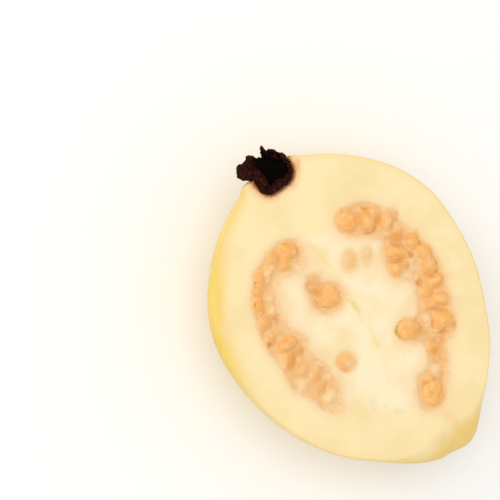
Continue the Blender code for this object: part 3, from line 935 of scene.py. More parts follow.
    def flesh_relief(self, x: np.ndarray, along: np.ndarray, beyond: np.ndarray) -> np.ndarray:
        """Height of the flesh above the plane of the cut, with the hollow under the pulp.

        Args:
            x: Places across the face.
            along: Places along the fruit.
            beyond: Distances outside the pulp.

        Returns:
            Heights in millimetres.
        """
        return self.swell(x, along) - self.bed_depth * smoothstep(0.05, -0.95, beyond)

    @staticmethod
    def swell(x: np.ndarray, along: np.ndarray) -> np.ndarray:
        """Broad low swellings that a knife leaves on moist flesh.

        Args:
            x: Places across the face.
            along: Places along the fruit.

        Returns:
            Heights in millimetres.
        """
        return noise_at(np.stack([x, along], axis=1), 7.0, 3.0) * 0.05

    def pulp_relief(
        self, seeds: Sequence[Seed], x: np.ndarray, along: np.ndarray, masks: dict[str, np.ndarray]
    ) -> np.ndarray:
        """Height of the pulp and its seeds above the plane of the cut.

        Args:
            seeds: The seeds that stand out of it.
            x: Places across the face.
            along: Places along the fruit.
            masks: Masks of the tissues.

        Returns:
            Heights in millimetres; outside the pulp they sink below the flesh.
        """
        flat = np.stack([x, along], axis=1)
        wander = self.wander(x, along)
        lumps = noise_at(flat, 1.9, 5.0)
        depth = smoothstep(0.0, -1.2, masks["beyond"])
        level = self.pulp_level + (0.26 * lumps - 0.12) * depth - 0.15 * masks["gel"] - 0.35 * masks["gap"]
        total = np.exp(level / self.blend)
        for seed in seeds:
            reach = seed.reach(x + wander * 0.5, along - wander * 0.4, seed.bend) * 0.9 - 0.1 * lumps
            dome = np.maximum(0.0, 1.0 - reach**2) ** 0.95
            height = (seed.rise + self.seed_foot) * dome * (1.0 + 0.1 * lumps) - self.seed_foot
            height = height - 2.0 * np.maximum(0.0, reach - 1.0)
            total = total + np.exp(np.minimum(height, seed.rise) / self.blend)
        height = self.blend * np.log(total) - 0.22 * masks["crease_shade"] - 0.15 * masks["green"]
        height = height + noise_at(flat, 0.7, 6.0) * 0.035
        inner = smoothstep(0.1, -0.9, masks["beyond"])
        skirt = 0.02 - 0.9 * smoothstep(0.0, 0.9, masks["beyond"])
        return np.minimum(height * inner + skirt + self.swell(x, along), self.highest)


@dataclass(frozen=True)
class FruitFinish:
    """Moist cut guava flesh, from creamy at the core to yellow under the peel, the waxy ripe peel, and
    painted shade and light.
    """

    outer: str = "#FCE6B0"
    core: str = "#FEECC4"
    shade: str = "#F7DCA0"
    under_peel: str = "#F8D272"
    fibre: str = "#F3DB90"
    mark: str = "#E6D06E"
    halo: str = "#F7D5A3"
    pulp: str = "#F2BF80"
    tan: str = "#E9A964"
    amber: str = "#F9B968"
    # painted highlight on the seeds
    light: str = "#FCC785"
    orange: str = "#FCAE50"
    gel: str = "#F8D5A2"
    # painted shade between the seeds
    gap: str = "#E59D4E"
    # painted shade along and under the seeds
    crease_shade: str = "#E3A056"
    green: str = "#B39A1E"
    speck: str = "#F2DFB8"
    strand: str = "#F7D08F"
    stain: str = "#F0AE74"
    # painted light: a lighter flesh that offsets the shading where the flesh falls towards the nub
    slope_painted_light: str = "#FFE5A8"
    scorch: str = "#8A4A1E"
    peel_light: str = "#F8D568"
    peel_deep: str = "#EBBE47"
    peel_green: str = "#E2CF68"
    pore: str = "#FBE38A"
    freckle: str = "#A87A38"
    nub: str = "#F6D27A"
    cloud_size: float = 9.0  # lumps of the flesh's clouding, in millimetres
    grain_size: float = 1.6  # grain of the pulp
    cell_size: float = 0.5  # stone cells of the flesh
    mottle_size: float = 16.0  # of the peel
    pore_gap: float = 1.3  # from one pore of the peel to the next
    freckle_gap: float = 7.5
    relief: float = 0.12  # height of the grain
    roughness: tuple[float, float] = (0.42, 0.58)  # of the moistest and the driest places
    ior: float = 1.38

    def build(self) -> bpy.types.Material:
        """Makes the material.

        Returns:
            The material, which reads the masks stored on the mesh.
        """
        material, tree, shader = new_material("guava_flesh_and_peel")
        place = add_node(tree, "ShaderNodeTexCoord", out="Object")
        masks = {
            name: add_node(tree, "ShaderNodeAttribute", out="Fac", attribute_name=name)
            for name in (
                "core", "pulp", "halo", "tan", "amber", "light", "orange", "gel", "gap", "crease_shade", "green",
                "speck", "fibre", "mark", "strand", "stain", "scorch", "under_peel", "slope_painted_light", "peel", "nub",
            )
        }
        cloud, grain, cells = (
            add_node(tree, "ShaderNodeTexNoise", {"Vector": place, "Scale": PER_METRE / size, "Detail": 3.0})
            for size in (self.cloud_size, self.grain_size, self.cell_size)
        )
        clouding, dark, pale = (
            add_node(tree, "ShaderNodeMapRange", {"Value": value, "From Min": low, "From Max": high})
            for value, low, high in ((cloud, 0.44, 0.64), (grain, 0.52, 0.7), (grain, 0.46, 0.3))
        )
        dark, pale = (
            add_node(tree, "ShaderNodeMath", {0: share, 1: masks["pulp"]}, operation="MULTIPLY")
            for share in (dark, pale)
        )
        colour: Input = linear(self.outer)
        layers = (
            # painted light on the falling flesh by the nub
            (masks["slope_painted_light"], self.slope_painted_light, 0.9),
            (masks["under_peel"], self.under_peel, 1.0),
            (masks["core"], self.core, 1.0),
            (clouding, self.shade, 0.7),
            (masks["fibre"], self.fibre, 0.75),
            (masks["mark"], self.mark, 0.45),
            (masks["speck"], self.speck, 0.8),
            (masks["strand"], self.strand, 0.55),
            (masks["halo"], self.halo, 0.8),
            (masks["pulp"], self.pulp, 1.0),
            (masks["tan"], self.tan, 0.9),
            (masks["amber"], self.amber, 0.9),
            # painted highlight on the seeds
            (masks["light"], self.light, 0.9),
            (masks["orange"], self.orange, 0.75),
            (masks["gel"], self.gel, 0.85),
            (dark, self.tan, 0.55),
            (pale, self.gel, 0.5),
            # painted shade between the seeds
            (masks["gap"], self.gap, 0.9),
            # painted shade along and under the seeds
            (masks["crease_shade"], self.crease_shade, 0.85),
            (masks["green"], self.green, 0.8),
            (masks["stain"], self.stain, 0.9),
            (masks["scorch"], self.scorch, 0.9),
        )
        for mask, tint, strength in layers:
            weight = add_node(tree, "ShaderNodeMath", {0: mask, 1: strength}, operation="MULTIPLY")
            colour = add_node(
                tree, "ShaderNodeMix", {0: weight, 6: colour, 7: linear(tint)}, out=2, data_type="RGBA"
            )
        peel, skin = self.peel(tree, place, cloud, masks["nub"])
        colour = add_node(
            tree, "ShaderNodeMix", {0: masks["peel"], 6: colour, 7: peel}, out=2, data_type="RGBA"
        )
        relief = add_node(tree, "ShaderNodeMath", {0: grain, 1: cells}, operation="ADD")
        relief = add_node(tree, "ShaderNodeMix", {0: masks["peel"], 2: relief, 3: skin})
        bump = add_node(
            tree, "ShaderNodeBump", {"Height": relief, "Strength": 0.35, "Distance": self.relief * MM}
        )
        moist, dry = self.roughness
        rough = add_node(
            tree,
            "ShaderNodeMapRange",
            {"Value": grain, "From Min": 0.3, "From Max": 0.7, "To Min": moist, "To Max": dry},
        )
        tree.links.new(colour, shader.inputs["Base Color"])
        tree.links.new(rough, shader.inputs["Roughness"])
        tree.links.new(bump, shader.inputs["Normal"])
        shader.inputs["IOR"].default_value = self.ior
        return material

    def peel(
        self,
        tree: bpy.types.NodeTree,
        place: bpy.types.NodeSocket,
        cloud: bpy.types.NodeSocket,
        nub: bpy.types.NodeSocket,
    ) -> tuple[bpy.types.NodeSocket, bpy.types.NodeSocket]:
        """Colour and relief of the peel: soft mottling, fine pores and a few brown freckles.

        Args:
            tree: The material's node tree.
            place: Object coordinates.
            cloud: A broad noise.
            nub: Mask of the tan stem end.

        Returns:
            The colour, and the height for a bump.
        """
        mottle = add_node(
            tree,
            "ShaderNodeTexNoise",
            {"Vector": place, "Scale": PER_METRE / self.mottle_size, "Detail": 4.0, "Roughness": 0.6},
        )
        pores, spots = (
            add_node(
                tree,
                "ShaderNodeTexVoronoi",
                {"Vector": place, "Scale": PER_METRE / gap, "Randomness": uneven},
            )
            for gap, uneven in ((self.pore_gap, 0.9), (self.freckle_gap, 1.0))
        )
        deep, green, dots, freckles, height = (
            add_node(
                tree,
                "ShaderNodeMapRange",
                {"Value": value, "From Min": low, "From Max": high, "To Max": most},
            )
            for value, low, high, most in (
                (mottle, 0.42, 0.68, 1.0),
                (cloud, 0.55, 0.8, 0.45),
                (pores, 0.22, 0.08, 0.25),
                (spots, 0.05, 0.02, 0.4),
                (pores, 0.1, 0.45, 1.0),
            )
        )
        colour: Input = linear(self.peel_light)
        for mask, tint in (
            (deep, self.peel_deep),
            (green, self.peel_green),
            (dots, self.pore),
            (nub, self.nub),
            (freckles, self.freckle),
        ):
            colour = add_node(
                tree, "ShaderNodeMix", {0: mask, 6: colour, 7: linear(tint)}, out=2, data_type="RGBA"
            )
        return colour, add_node(tree, "ShaderNodeMath", {0: mottle, 1: height}, operation="ADD")


@dataclass(frozen=True)
class FruitBody:
    """Peel, flesh and pulp: one closed mesh, smooth outside and softly uneven on the cut face."""

    form: FruitForm = field(default_factory=FruitForm)
    face: CutFace = field(default_factory=CutFace)
    edge_rounds: int = 3  # smoothing passes that round the edge of the cut
    nub_rounds: int = 14  # the same where the cut runs out over the nub
    cup_rounds: int = 8  # and where the flesh meets the calyx
    tan_from: float = 74.1  # where the flesh of the nub turns tan
    dent_at: tuple[float, float, float] = (-0.4, 78.3, -5.0)  # the dimple beside the tip of the nub
    dent_size: tuple[float, float, float] = (1.8, 2.3, 4.0)
    dent_depth: float = 1.0
    weld: float = 0.001  # seam and poles closer than this are merged
    mouth_half: float = 6.8  # half the width of the calyx's mouth, which has no peel beside the flesh
    soft: float = 0.9  # how far from an edge the smoothing reaches
    nub_soft: float = 2.2  # the same on the nub
    nub_from: float = 70.2
    crisp: float = 1.5  # nearer the mouth than this the edge of the cut isn't rounded
    clear: float = 0.3  # smoothing by the calyx keeps this far from the border of the flesh
    run_out_first: int = 60  # the ring from which the run-out is looked for
    run_out_every: int = 3  # columns of the face from one of its points to the next

    def build(self, material: bpy.types.Material) -> bpy.types.Object:
        """Makes the piece.

        Args:
            material: The finish of flesh and peel.

        Returns:
            The fruit's body, with the masks of its tissues stored on its mesh.
        """
        form, face = self.form, self.face
        rings, cut, rim = form.cut_rings()
        self.open_mouth(rings, rim)
        steps = form.skin_steps + form.face_steps
        bm, share = numbered_grid(steps, form.rings)
        step = np.rint(share[:, 0] * steps).astype(int) % steps
        points = rings[np.rint(share[:, 1] * form.rings).astype(int), step].copy()
        on_face = points[:, 2] > -1e-6
        on_top = on_face | (step >= form.skin_steps)
        x, along = points[:, 0].copy(), points[:, 1].copy()
        border = path_distance(self.border(rings, cut), x, along)
        edge = np.minimum(border, path_distance(self.run_out(rings), x, along))
        masks = face.masks(x, along, np.where(on_top, border, 0.0))
        relief = face.flesh_relief(x, along, masks.pop("beyond")) * smoothstep(0.3, 2.5, edge)
        points[on_face, 2] += relief[on_face]
        self.carve(points, on_face)
        for vert, point in zip(bm.verts, points):
            vert.co = in_frame(*point)
        bmesh.ops.remove_doubles(bm, verts=bm.verts[:], dist=self.weld * MM)
        bmesh.ops.dissolve_degenerate(bm, dist=self.weld * MM, edges=bm.edges[:])
        bmesh.ops.holes_fill(bm, edges=[side for side in bm.edges if side.is_boundary])
        kept = take_numbers(bm)
        points, on_face, on_top, edge, border, x, along = (
            values[kept] for values in (points, on_face, on_top, edge, border, x, along)
        )
        near = (edge < self.soft) | (~on_face & (points[:, 2] > -self.soft))
        self.smooth(bm, near & (along > self.crisp), self.edge_rounds)
        by_cup = (np.abs(x - face.cup_x) < face.cup_radius + self.soft) & (along < face.cup_depth + self.soft)
        self.smooth(bm, by_cup & on_face & (border > self.clear), self.cup_rounds)
        self.smooth(bm, (edge < self.nub_soft) & (along > self.nub_from), self.nub_rounds)
        bmesh.ops.recalc_face_normals(bm, faces=bm.faces[:])
        piece = finish_piece("fruit_body", bm, material, ["fruit_half"])
        peel = self.peel_masks(x, along, points[:, 2], border, on_top)
        mouth = peel.pop("mouth")
        for name, values in masks.items():
            stained = mouth if name in ("stain", "scorch") else 0.0
            store(piece.data, name, np.where(on_top, values[kept], stained))
        for name, values in peel.items():
            store(piece.data, name, values)
        return piece

    def carve(self, points: np.ndarray, on_face: np.ndarray) -> None:
        """Sinks the calyx's bore, flattens the rest spot and dents the nub.

        Args:
            points: The body's points, which it changes.
            on_face: Whether each lies on the cut face.
        """
        bore = self.face.bore(points[:, 0], points[:, 1])
        in_bore = (bore > 0.0) & (points[:, 1] < self.face.cup_depth) & (points[:, 2] > -bore)
        points[in_bore, 2] = -bore[in_bore]
        points[:, 2] = np.maximum(points[:, 2], -FACE_HEIGHT)
        dent = self.dent_depth * np.exp(-(((points - self.dent_at) / self.dent_size) ** 2).sum(axis=1))
        points[:, 1] -= np.where(on_face, 0.0, dent)

    def peel_masks(
        self, x: np.ndarray, along: np.ndarray, up: np.ndarray, border: np.ndarray, on_top: np.ndarray
    ) -> dict[str, np.ndarray]:
        """Shares of peel, of the nub's tan flesh and of the stain round the calyx's mouth.

        Args:
            x: Places across the face.
            along: Places along the fruit.
            up: Heights above the cut face.
            border: Distances from the border between peel and flesh.
            on_top: Whether each point lies on the cut face or on top of the nub.

        Returns:
            The masks by name, 0 to 1.
        """
        face = self.face
        side, drift = face.sunny_side(x, along), face.wander(x, along)
        tan = smoothstep(-2.2, 1.8, along - self.tan_from + 0.1 * x + drift * 1.4)
        band = (0.2 + 0.8 * side) * smoothstep(0.0, 1.0, 1.15 - (border + drift * 0.15) / (0.6 + 0.9 * side))
        mouth = np.hypot(x - face.cup_x, up / face.cup_oval) - face.cup_radius
        mouth = smoothstep(1.7, 0.2, mouth + drift * 0.4) * smoothstep(1.8, 0.9, along)
        thin = 0.8 * smoothstep(-3.6, -0.6, up) * (1.0 - side)
        peel = np.where(on_top, np.maximum(band, tan), np.maximum(1.0 - thin, tan)) * (1.0 - mouth)
        return {"peel": peel, "nub": tan * smoothstep(-14.0, -4.0, up), "mouth": mouth}

    def open_mouth(self, rings: np.ndarray, rim: int) -> None:
        """Opens the end at the calyx: what lies inside the bore moves onto its edge.

        Args:
            rings: The rings of the half fruit, which it changes.
            rim: The number of the rim's ring.
        """
        first = self.form.skin_steps
        row = rings[rim, first:]
        deep = self.face.bore(row[:, 0], row[:, 1])
        lip = np.stack([row[:, 0], row[:, 1], -deep], axis=1)[deep > 0.0]
        for column in rings[: rim + 1, : first + 1].transpose(1, 0, 2):
            bore = self.face.bore(column[:-1, 0], column[:-1, 1])
            inside = np.where((bore > 0.0) & (column[:-1, 2] > -bore))[0]
            if len(inside):
                crossing = (column[inside[-1]] + column[inside[-1] + 1]) / 2.0
                column[: inside[-1] + 1] = lip[np.argmin(np.hypot(*(lip - crossing)[:, ::2].T))]
        for ring in rings[:rim]:
            ring[first + 1 :, 0] = np.clip(row[1:, 0], ring[first, 0], ring[0, 0])
            ring[first:, 1] = np.interp(ring[first:, 0], row[:, 0], row[:, 1])
            ring[first + 1 :, 2] = 0.0

    @staticmethod
    def smooth(bm: bmesh.types.BMesh, chosen: np.ndarray, rounds: int) -> None:
        """Smooths part of the mesh.

        Args:
            bm: The mesh.
            chosen: A flag for each vertex.
            rounds: How many passes.
        """
        verts = [vert for vert, moved in zip(bm.verts, chosen) if moved]
        for _ in range(rounds):
            bmesh.ops.smooth_vert(
                bm, verts=verts, factor=0.5, use_axis_x=True, use_axis_y=True, use_axis_z=True
            )

    def border(self, rings: np.ndarray, cut: np.ndarray) -> np.ndarray:
        """The line between peel and flesh down both sides of the fruit.

        Args:
            rings: The rings of the half fruit.
            cut: Whether each ring's line between peel and top is the edge of the cut.

        Returns:
            Points (x, along); beyond the cut they follow the sides of the nub.
        """
        sides = [
            rings[i, j, :2]
            for i, on_plane in enumerate(cut)
            for j in (0, self.form.skin_steps)
            if not on_plane or abs(rings[i, j, 0]) > self.mouth_half
        ]
        return np.array(sides)

    def run_out(self, rings: np.ndarray) -> np.ndarray:
        """The line where the cut runs out over the nub.

        Args:
            rings: The rings of the half fruit.

        Returns:
            Points (x, along).
        """
        columns = rings[self.run_out_first :, self.form.skin_steps :: self.run_out_every].transpose(1, 0, 2)
        return np.array([column[np.argmax(column[:, 2] < 0.0), :2] for column in columns])


@dataclass(frozen=True)
class PulpBed:
    """Pulp with the seeds that stand out of it: one closed mesh that fills its hollow in the flesh."""

    node: str
    seeds: tuple[Seed, ...]
    region: Region | None = None  # of the pulp between the seeds
    face: CutFace = field(default_factory=CutFace)
    step: float = 0.14
    skirt: float = 0.8  # how far the mesh reaches under the flesh
    margin: float = 1.0  # how much further the grid reaches than the skirt
    overlap: float = 0.6  # how far beyond the skirt other pulp still counts as this bed's
    bottom: float = -2.2

    def build(self, material: bpy.types.Material) -> bpy.types.Object:
        """Makes the piece.

        Args:
            material: The finish of flesh and pulp.

        Returns:
            The pulp and its seeds.
        """
        (left, near), (right, far) = self.corners()
        bm, share = numbered_grid(round((right - left) / self.step), round((far - near) / self.step))
        x, along = left + (right - left) * share[:, 0], far + (near - far) * share[:, 1]
        masks = self.face.masks(x, along, np.full(len(x), FAR))
        height = self.face.pulp_relief(self.seeds, x, along, masks)
        for vert, px, pa, up in zip(bm.verts, x, along, height):
            vert.co = in_frame(px, pa, up)
        own = self.own_reach(x, along, masks.pop("beyond"))
        spare = [vert for vert, reach in zip(bm.verts, own) if reach > self.skirt]
        bmesh.ops.delete(bm, geom=spare, context="VERTS")
        rim = [edge for edge in bm.edges if edge.is_boundary]
        sunk = bmesh.ops.extrude_edge_only(bm, edges=rim)["geom"]
        floor = in_frame(0.0, 0.0, self.bottom).z
        for item in sunk:
            if isinstance(item, bmesh.types.BMVert):
                item.co.z = floor
        sunk_rim = [item for item in sunk if isinstance(item, bmesh.types.BMEdge) and item.is_boundary]
        bmesh.ops.edgeloop_fill(bm, edges=sunk_rim)
        bmesh.ops.recalc_face_normals(bm, faces=bm.faces[:])
        kept = take_numbers(bm)
        piece = finish_piece(self.node + "_pulp", bm, material, [self.node])
        for name, values in masks.items():
            store(piece.data, name, values[kept])
        return piece

    def corners(self) -> tuple[np.ndarray, np.ndarray]:
        """The corners of a grid that holds the seeds, the pulp between them and the skirt.

        Returns:
            The lowest and the highest (x, along).
        """
        spots = [(seed.x, seed.along, max(seed.length, seed.width) / 2.0) for seed in self.seeds]
        spots += [(x, along, 0.0) for x, along in (self.region.loop if self.region else ())]
        middles, radii = np.array(spots)[:, :2], np.array(spots)[:, 2:]
        reach = radii + (self.skirt + self.margin)
        return (middles - reach).min(axis=0), (middles + reach).max(axis=0)

    def own_reach(self, x: np.ndarray, along: np.ndarray, beyond: np.ndarray) -> np.ndarray:
        """Distance outside the pulp where it belongs to this bed, and far where it is another's.

        Args:
            x: Places across the face.
            along: Places along the fruit.
            beyond: Distances outside any pulp.

        Returns:
            The distances in millimetres.
        """
        own = self.region.outside(x, along) if self.region else np.full(len(x), FAR)
        for seed in self.seeds:
            away = (seed.reach(x, along, seed.bend) - 1.0) * min(seed.length, seed.width) / 2.0
            own = np.minimum(own, away)
        return np.where(own > self.skirt + self.overlap, FAR, beyond)


@dataclass(frozen=True)
class DryCalyxFinish:
    """Dead calyx tissue: dark red-brown and fibrous, and nearly black with painted shade in the hollow, where
    little light reaches.
    """

    # painted shade, nearly black, deep in the hollow
    hollow: str = "#060100"
    brown: str = "#2B0B05"
    rusty: str = "#5F2C13"
    fibre_size: float = 0.9  # of the crumbled fibres, in millimetres
    relief: float = 0.25

    def build(self) -> bpy.types.Material:
        """Makes the material.

        Returns:
            The material, which reads how far in each place lies and paints shade there.
        """
        material, tree, shader = new_material("withered_calyx")
        place = add_node(tree, "ShaderNodeTexCoord", out="Object")
        # share of painted shade in the hollow
        inside = add_node(tree, "ShaderNodeAttribute", out="Fac", attribute_name="inside")
        crumble = add_node(
            tree,
            "ShaderNodeTexNoise",
            {"Vector": place, "Scale": PER_METRE / self.fibre_size, "Detail": 6.0, "Roughness": 0.7},
        )
        rusty = add_node(tree, "ShaderNodeMapRange", {"Value": crumble, "From Min": 0.52, "From Max": 0.7})
        colour: Input = linear(self.brown)
        # the last layer is painted shade in the hollow
        for mask, tint in ((rusty, self.rusty), (inside, self.hollow)):
            colour = add_node(
                tree, "ShaderNodeMix", {0: mask, 6: colour, 7: linear(tint)}, out=2, data_type="RGBA"
            )
        bump = add_node(
            tree, "ShaderNodeBump", {"Height": crumble, "Strength": 0.9, "Distance": self.relief * MM}
        )
        tree.links.new(colour, shader.inputs["Base Color"])
        tree.links.new(bump, shader.inputs["Normal"])
        shader.inputs["Roughness"].default_value = 0.9
        shader.inputs["Specular IOR Level"].default_value = 0.1
        return material


@dataclass(frozen=True)
class Calyx:
    """The dry half cup at the blossom end, crumbling where the knife cut it, with its withered sepals."""

    cup_x: float = 1.05
    radius: float = 4.55
    depth: float = 4.4
    corner: float = 2.4
    foot: float = -0.7
    wall: float = 0.6
    rows: int = 24
    steps: int = 120
    sink: float = 0.35  # of the axis under the cut face
    highest: float = 0.25  # of any crumb above the cut face
    clearance: float = 0.02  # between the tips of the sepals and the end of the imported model
    grain: float = 0.14  # size of the faces of the finished surface
    seed: int = 7
    # Angle round the cup, length, lean outwards, and half width in degrees.
    sepals: tuple[tuple[float, float, float, float], ...] = (
        (-36.0, 2.4, -1.9, 26.0),
        (-62.0, 3.3, -0.8, 15.0),
        (-98.0, 2.6, 0.5, 24.0),
        (-134.0, 2.9, 1.3, 24.0),
        (-170.0, 2.0, 2.1, 30.0),
    )
    # Paths of torn tissue: knots (x, along, up), the crumbs' radius, and how many there are.
    torn: tuple[tuple[tuple[tuple[float, float, float], ...], float, int], ...] = (
        (((-2.9, 3.5, -0.5), (-2.5, 2.0, -0.4), (-2.3, 0.6, -0.5), (-2.6, -0.8, -0.6)), 0.72, 16),
        (((-1.9, 2.8, -1.8), (-1.5, 1.4, -2.0), (-1.6, 0.0, -2.1), (-2.4, -1.4, -2.2)), 0.85, 15),
        (((-2.4, 1.4, -1.2), (-2.2, -0.4, -1.5), (-3.4, -1.6, -1.9), (-4.6, -2.6, -2.0)), 0.95, 14),
        (((-1.6, -1.6, -3.4), (-2.6, -2.2, -3.0), (-3.6, -3.0, -2.8)), 0.8, 9),
        (((-3.2, -1.2, -0.8), (-4.3, -1.7, -0.7), (-5.3, -2.2, -0.8), (-4.8, -3.0, -1.2)), 0.75, 15),
        (
            ((-2.6, 4.0, -0.5), (-0.9, 4.2, -0.4), (0.8, 4.45, -0.4), (2.4, 4.4, -0.4), (3.9, 3.9, -0.4)),
            0.55,
            24,
        ),
        (((-1.0, 3.5, -1.3), (0.8, 3.8, -1.4), (2.6, 3.7, -1.3)), 0.5, 9),
        (((4.7, 3.4, -0.4), (5.3, 2.2, -0.4), (5.4, 0.8, -0.4), (5.0, -0.3, -0.5)), 0.36, 15),
        (((4.2, -0.9, -1.4), (3.3, -2.0, -2.0), (2.7, -3.2, -2.2)), 0.38, 10),
        (((-4.4, -2.9, -2.2), (-3.2, -3.3, -3.0), (-1.6, -3.6, -3.8), (0.0, -3.9, -4.0)), 0.6, 18),
        (
            ((-3.5, -0.2, -2.0), (-2.3, -0.2, -4.0), (0.6, -0.2, -5.2), (3.4, -0.2, -4.4), (5.3, -0.1, -2.0)),
            0.5,
            26,
        ),
    )

    def sepal_at(self, degrees: float) -> tuple[float, float]:
        """Length and outward lean of the calyx's edge.

        Args:
            degrees: Angle round the cup from +X.

        Returns:
            The length and the lean, in millimetres.
        """
        length, lean = 0.4, 0.2
        for centre, reach, out, half in self.sepals:
            lobe = math.sin(max(0.0, 1.0 - abs(degrees - centre) / half) * math.pi / 2.0) ** 0.7
            length, lean = length + reach * lobe, lean + out * lobe
        return length, lean

    def build(self, material: bpy.types.Material) -> bpy.types.Object:
        """Makes the piece.

        Args:
            material: The finish of dead tissue.

        Returns:
            The cup, its sepals and its torn edge, joined to one closed surface.
        """
        bm = self.cup()
        self.add_torn_edge(bm)
        bmesh.ops.recalc_face_normals(bm, faces=bm.faces[:])
        rough = bpy.data.meshes.new("calyx_parts")
        bm.to_mesh(rough)
        bm.free()
        parts = add_object("calyx_parts", rough)
        skin = parts.modifiers.new("skin", "REMESH")
        skin.mode = "VOXEL"
        skin.voxel_size = self.grain * MM
        joined = bpy.data.meshes.new_from_object(parts.evaluated_get(bpy.context.evaluated_depsgraph_get()))
        bpy.data.objects.remove(parts)
        inside = self.crumble(joined)
        bm = bmesh.new()
        bm.from_mesh(joined)
        bpy.data.meshes.remove(joined)
        piece = finish_piece("withered_calyx", bm, material, ["calyx"])
        # where the finish paints shade in the hollow
        store(piece.data, "inside", inside)
        return piece

    def cup(self) -> bmesh.types.BMesh:
        """The half cup with its sepals, turned round the axis and crumpled.

        Returns:
            The mesh, in the frame.
        """
        outer = self.profile(self.radius, self.depth, self.corner)
        inner = self.profile(self.radius - self.wall, self.depth - self.wall, self.corner - self.wall)
        bm = bmesh.new()
        loop = [bm.verts.new(Vector((away, -along, 0.0)) * MM) for along, away in [*outer, *reversed(inner)]]
        section = bm.faces.new(loop)
        bmesh.ops.spin(
            bm,
            geom=[*loop, *section.edges, section],
            axis=(0.0, 1.0, 0.0),
            cent=(0.0, 0.0, 0.0),
            angle=math.pi,
            steps=self.steps,
        )
        bmesh.ops.remove_doubles(bm, verts=bm.verts[:], dist=0.01 * MM)
        for vert in bm.verts:
            self.crumple(vert)
        return bm

    def profile(self, radius: float, depth: float, corner: float) -> list[tuple[float, float]]:
        """One side of the cup's wall, from the middle of its bottom to the tips of its sepals.

        Args:
            radius: Of the cup.
            depth: Of the cup's bottom.
            corner: Radius between its bottom and its side.

        Returns:
            The points, as (along, away from the axis).
        """
        turns = [math.radians(90.0 * step / 9.0) for step in range(10)]
        points = [(depth, 0.0), (depth, 0.8)]
        points += [
            (depth - corner * (1.0 - math.cos(turn)), radius - corner * (1.0 - math.sin(turn)))
            for turn in turns
        ]
        points += [(self.foot + 1.6, radius), (self.foot + 0.8, radius), (self.foot, radius)]
        return points + [(self.foot - row, radius) for row in range(1, self.rows + 1)]

    def crumple(self, vert: bmesh.types.BMVert) -> None:
        """Moves a vertex of the plain turned cup to its place on the crumpled calyx.

        Args:
            vert: The vertex.
        """
        x, along, up = vert.co.x / MM, -vert.co.y / MM, -abs(vert.co.z / MM)
        angle, away = math.atan2(up, x), math.hypot(x, up)
        degrees = math.degrees(angle)
        row = (self.foot - along) / self.rows
        if row > 0.0:
            length, lean = self.sepal_at(degrees)
            ragged = 1.0 + 0.3 * noise.noise(Vector((degrees * 0.13, 3.0, 0.0)))
            along = self.foot - length * ragged * row
            away += lean * row**1.5 + 0.6 * row * noise.noise(Vector((degrees * 0.05, along * 0.6, 7.0)))
        fold = noise.fractal(Vector((degrees * 0.07, along * 0.7, 1.0)), 1.0, 2.1, 3)
        away += 0.3 * fold * min(1.0, away / 2.0)
        vert.co = in_frame(self.cup_x + away * math.cos(angle), along, away * math.sin(angle) - self.sink)

    def add_torn_edge(self, bm: bmesh.types.BMesh) -> None:
        """Adds crumbs of torn tissue along the cut.

        Args:
            bm: The mesh that they join.
        """
        spread = np.random.default_rng(self.seed)
        for knots, radius, count in self.torn:
            for x, along, up in even_points(np.array(knots), count):
                shift = spread.normal(0.0, 0.35, 3) * radius
                size = radius * spread.uniform(0.6, 1.15)
                place = in_frame(x + shift[0], along + shift[1], min(up + shift[2], self.highest - size))
                squash = Matrix.Diagonal((*spread.uniform(0.7, 1.3, 3), 1.0))
                turn = Matrix.Rotation(spread.uniform(0.0, math.pi), 4, Vector(spread.normal(0.0, 1.0, 3)))
                bmesh.ops.create_icosphere(
                    bm, subdivisions=2, radius=size * MM, matrix=Matrix.Translation(place) @ turn @ squash
                )

    def crumble(self, mesh: bpy.types.Mesh) -> np.ndarray:
        """Roughens the joined surface and finds what lies in the hollow, where shade is painted.

        Args:
            mesh: The joined surface; it is changed.

        Returns:
            How far inside the hollow, and turned into it, each vertex lies, from 0 to 1: the share of painted
            shade.
        """
        places, normals = np.empty(len(mesh.vertices) * 3), np.empty(len(mesh.vertices) * 3)
        mesh.vertices.foreach_get("co", places)
        mesh.vertices.foreach_get("normal", normals)
        places, normals = places.reshape(-1, 3) / MM, normals.reshape(-1, 3)
        lumps = noise_at(places, 1.3, 11.0, 4) * 0.3 + noise_at(places, 0.4, 12.0, 2) * 0.1
        places = places + normals * lumps[:, None]
        places[:, 1] = np.minimum(places[:, 1], CAD_BOUNDS[1][1] / MM - self.clearance)
        mesh.vertices.foreach_set("co", (places * MM).ravel())
        mesh.update()
        x, along, up = places[:, 0] - self.cup_x, MOUTH_Y - places[:, 1], places[:, 2] - FACE_HEIGHT
        facing = smoothstep(-0.2, 0.5, -(normals[:, 0] * x + normals[:, 2] * up) / np.hypot(x, up).clip(0.1))
        inward = x + 0.3 * along.clip(-3.0, 3.0) + 2.0 * lumps
        deep = smoothstep(-0.6, -2.0, up) * smoothstep(-3.0, -1.5, inward)
        return deep * facing * smoothstep(-4.4, -2.6, along)


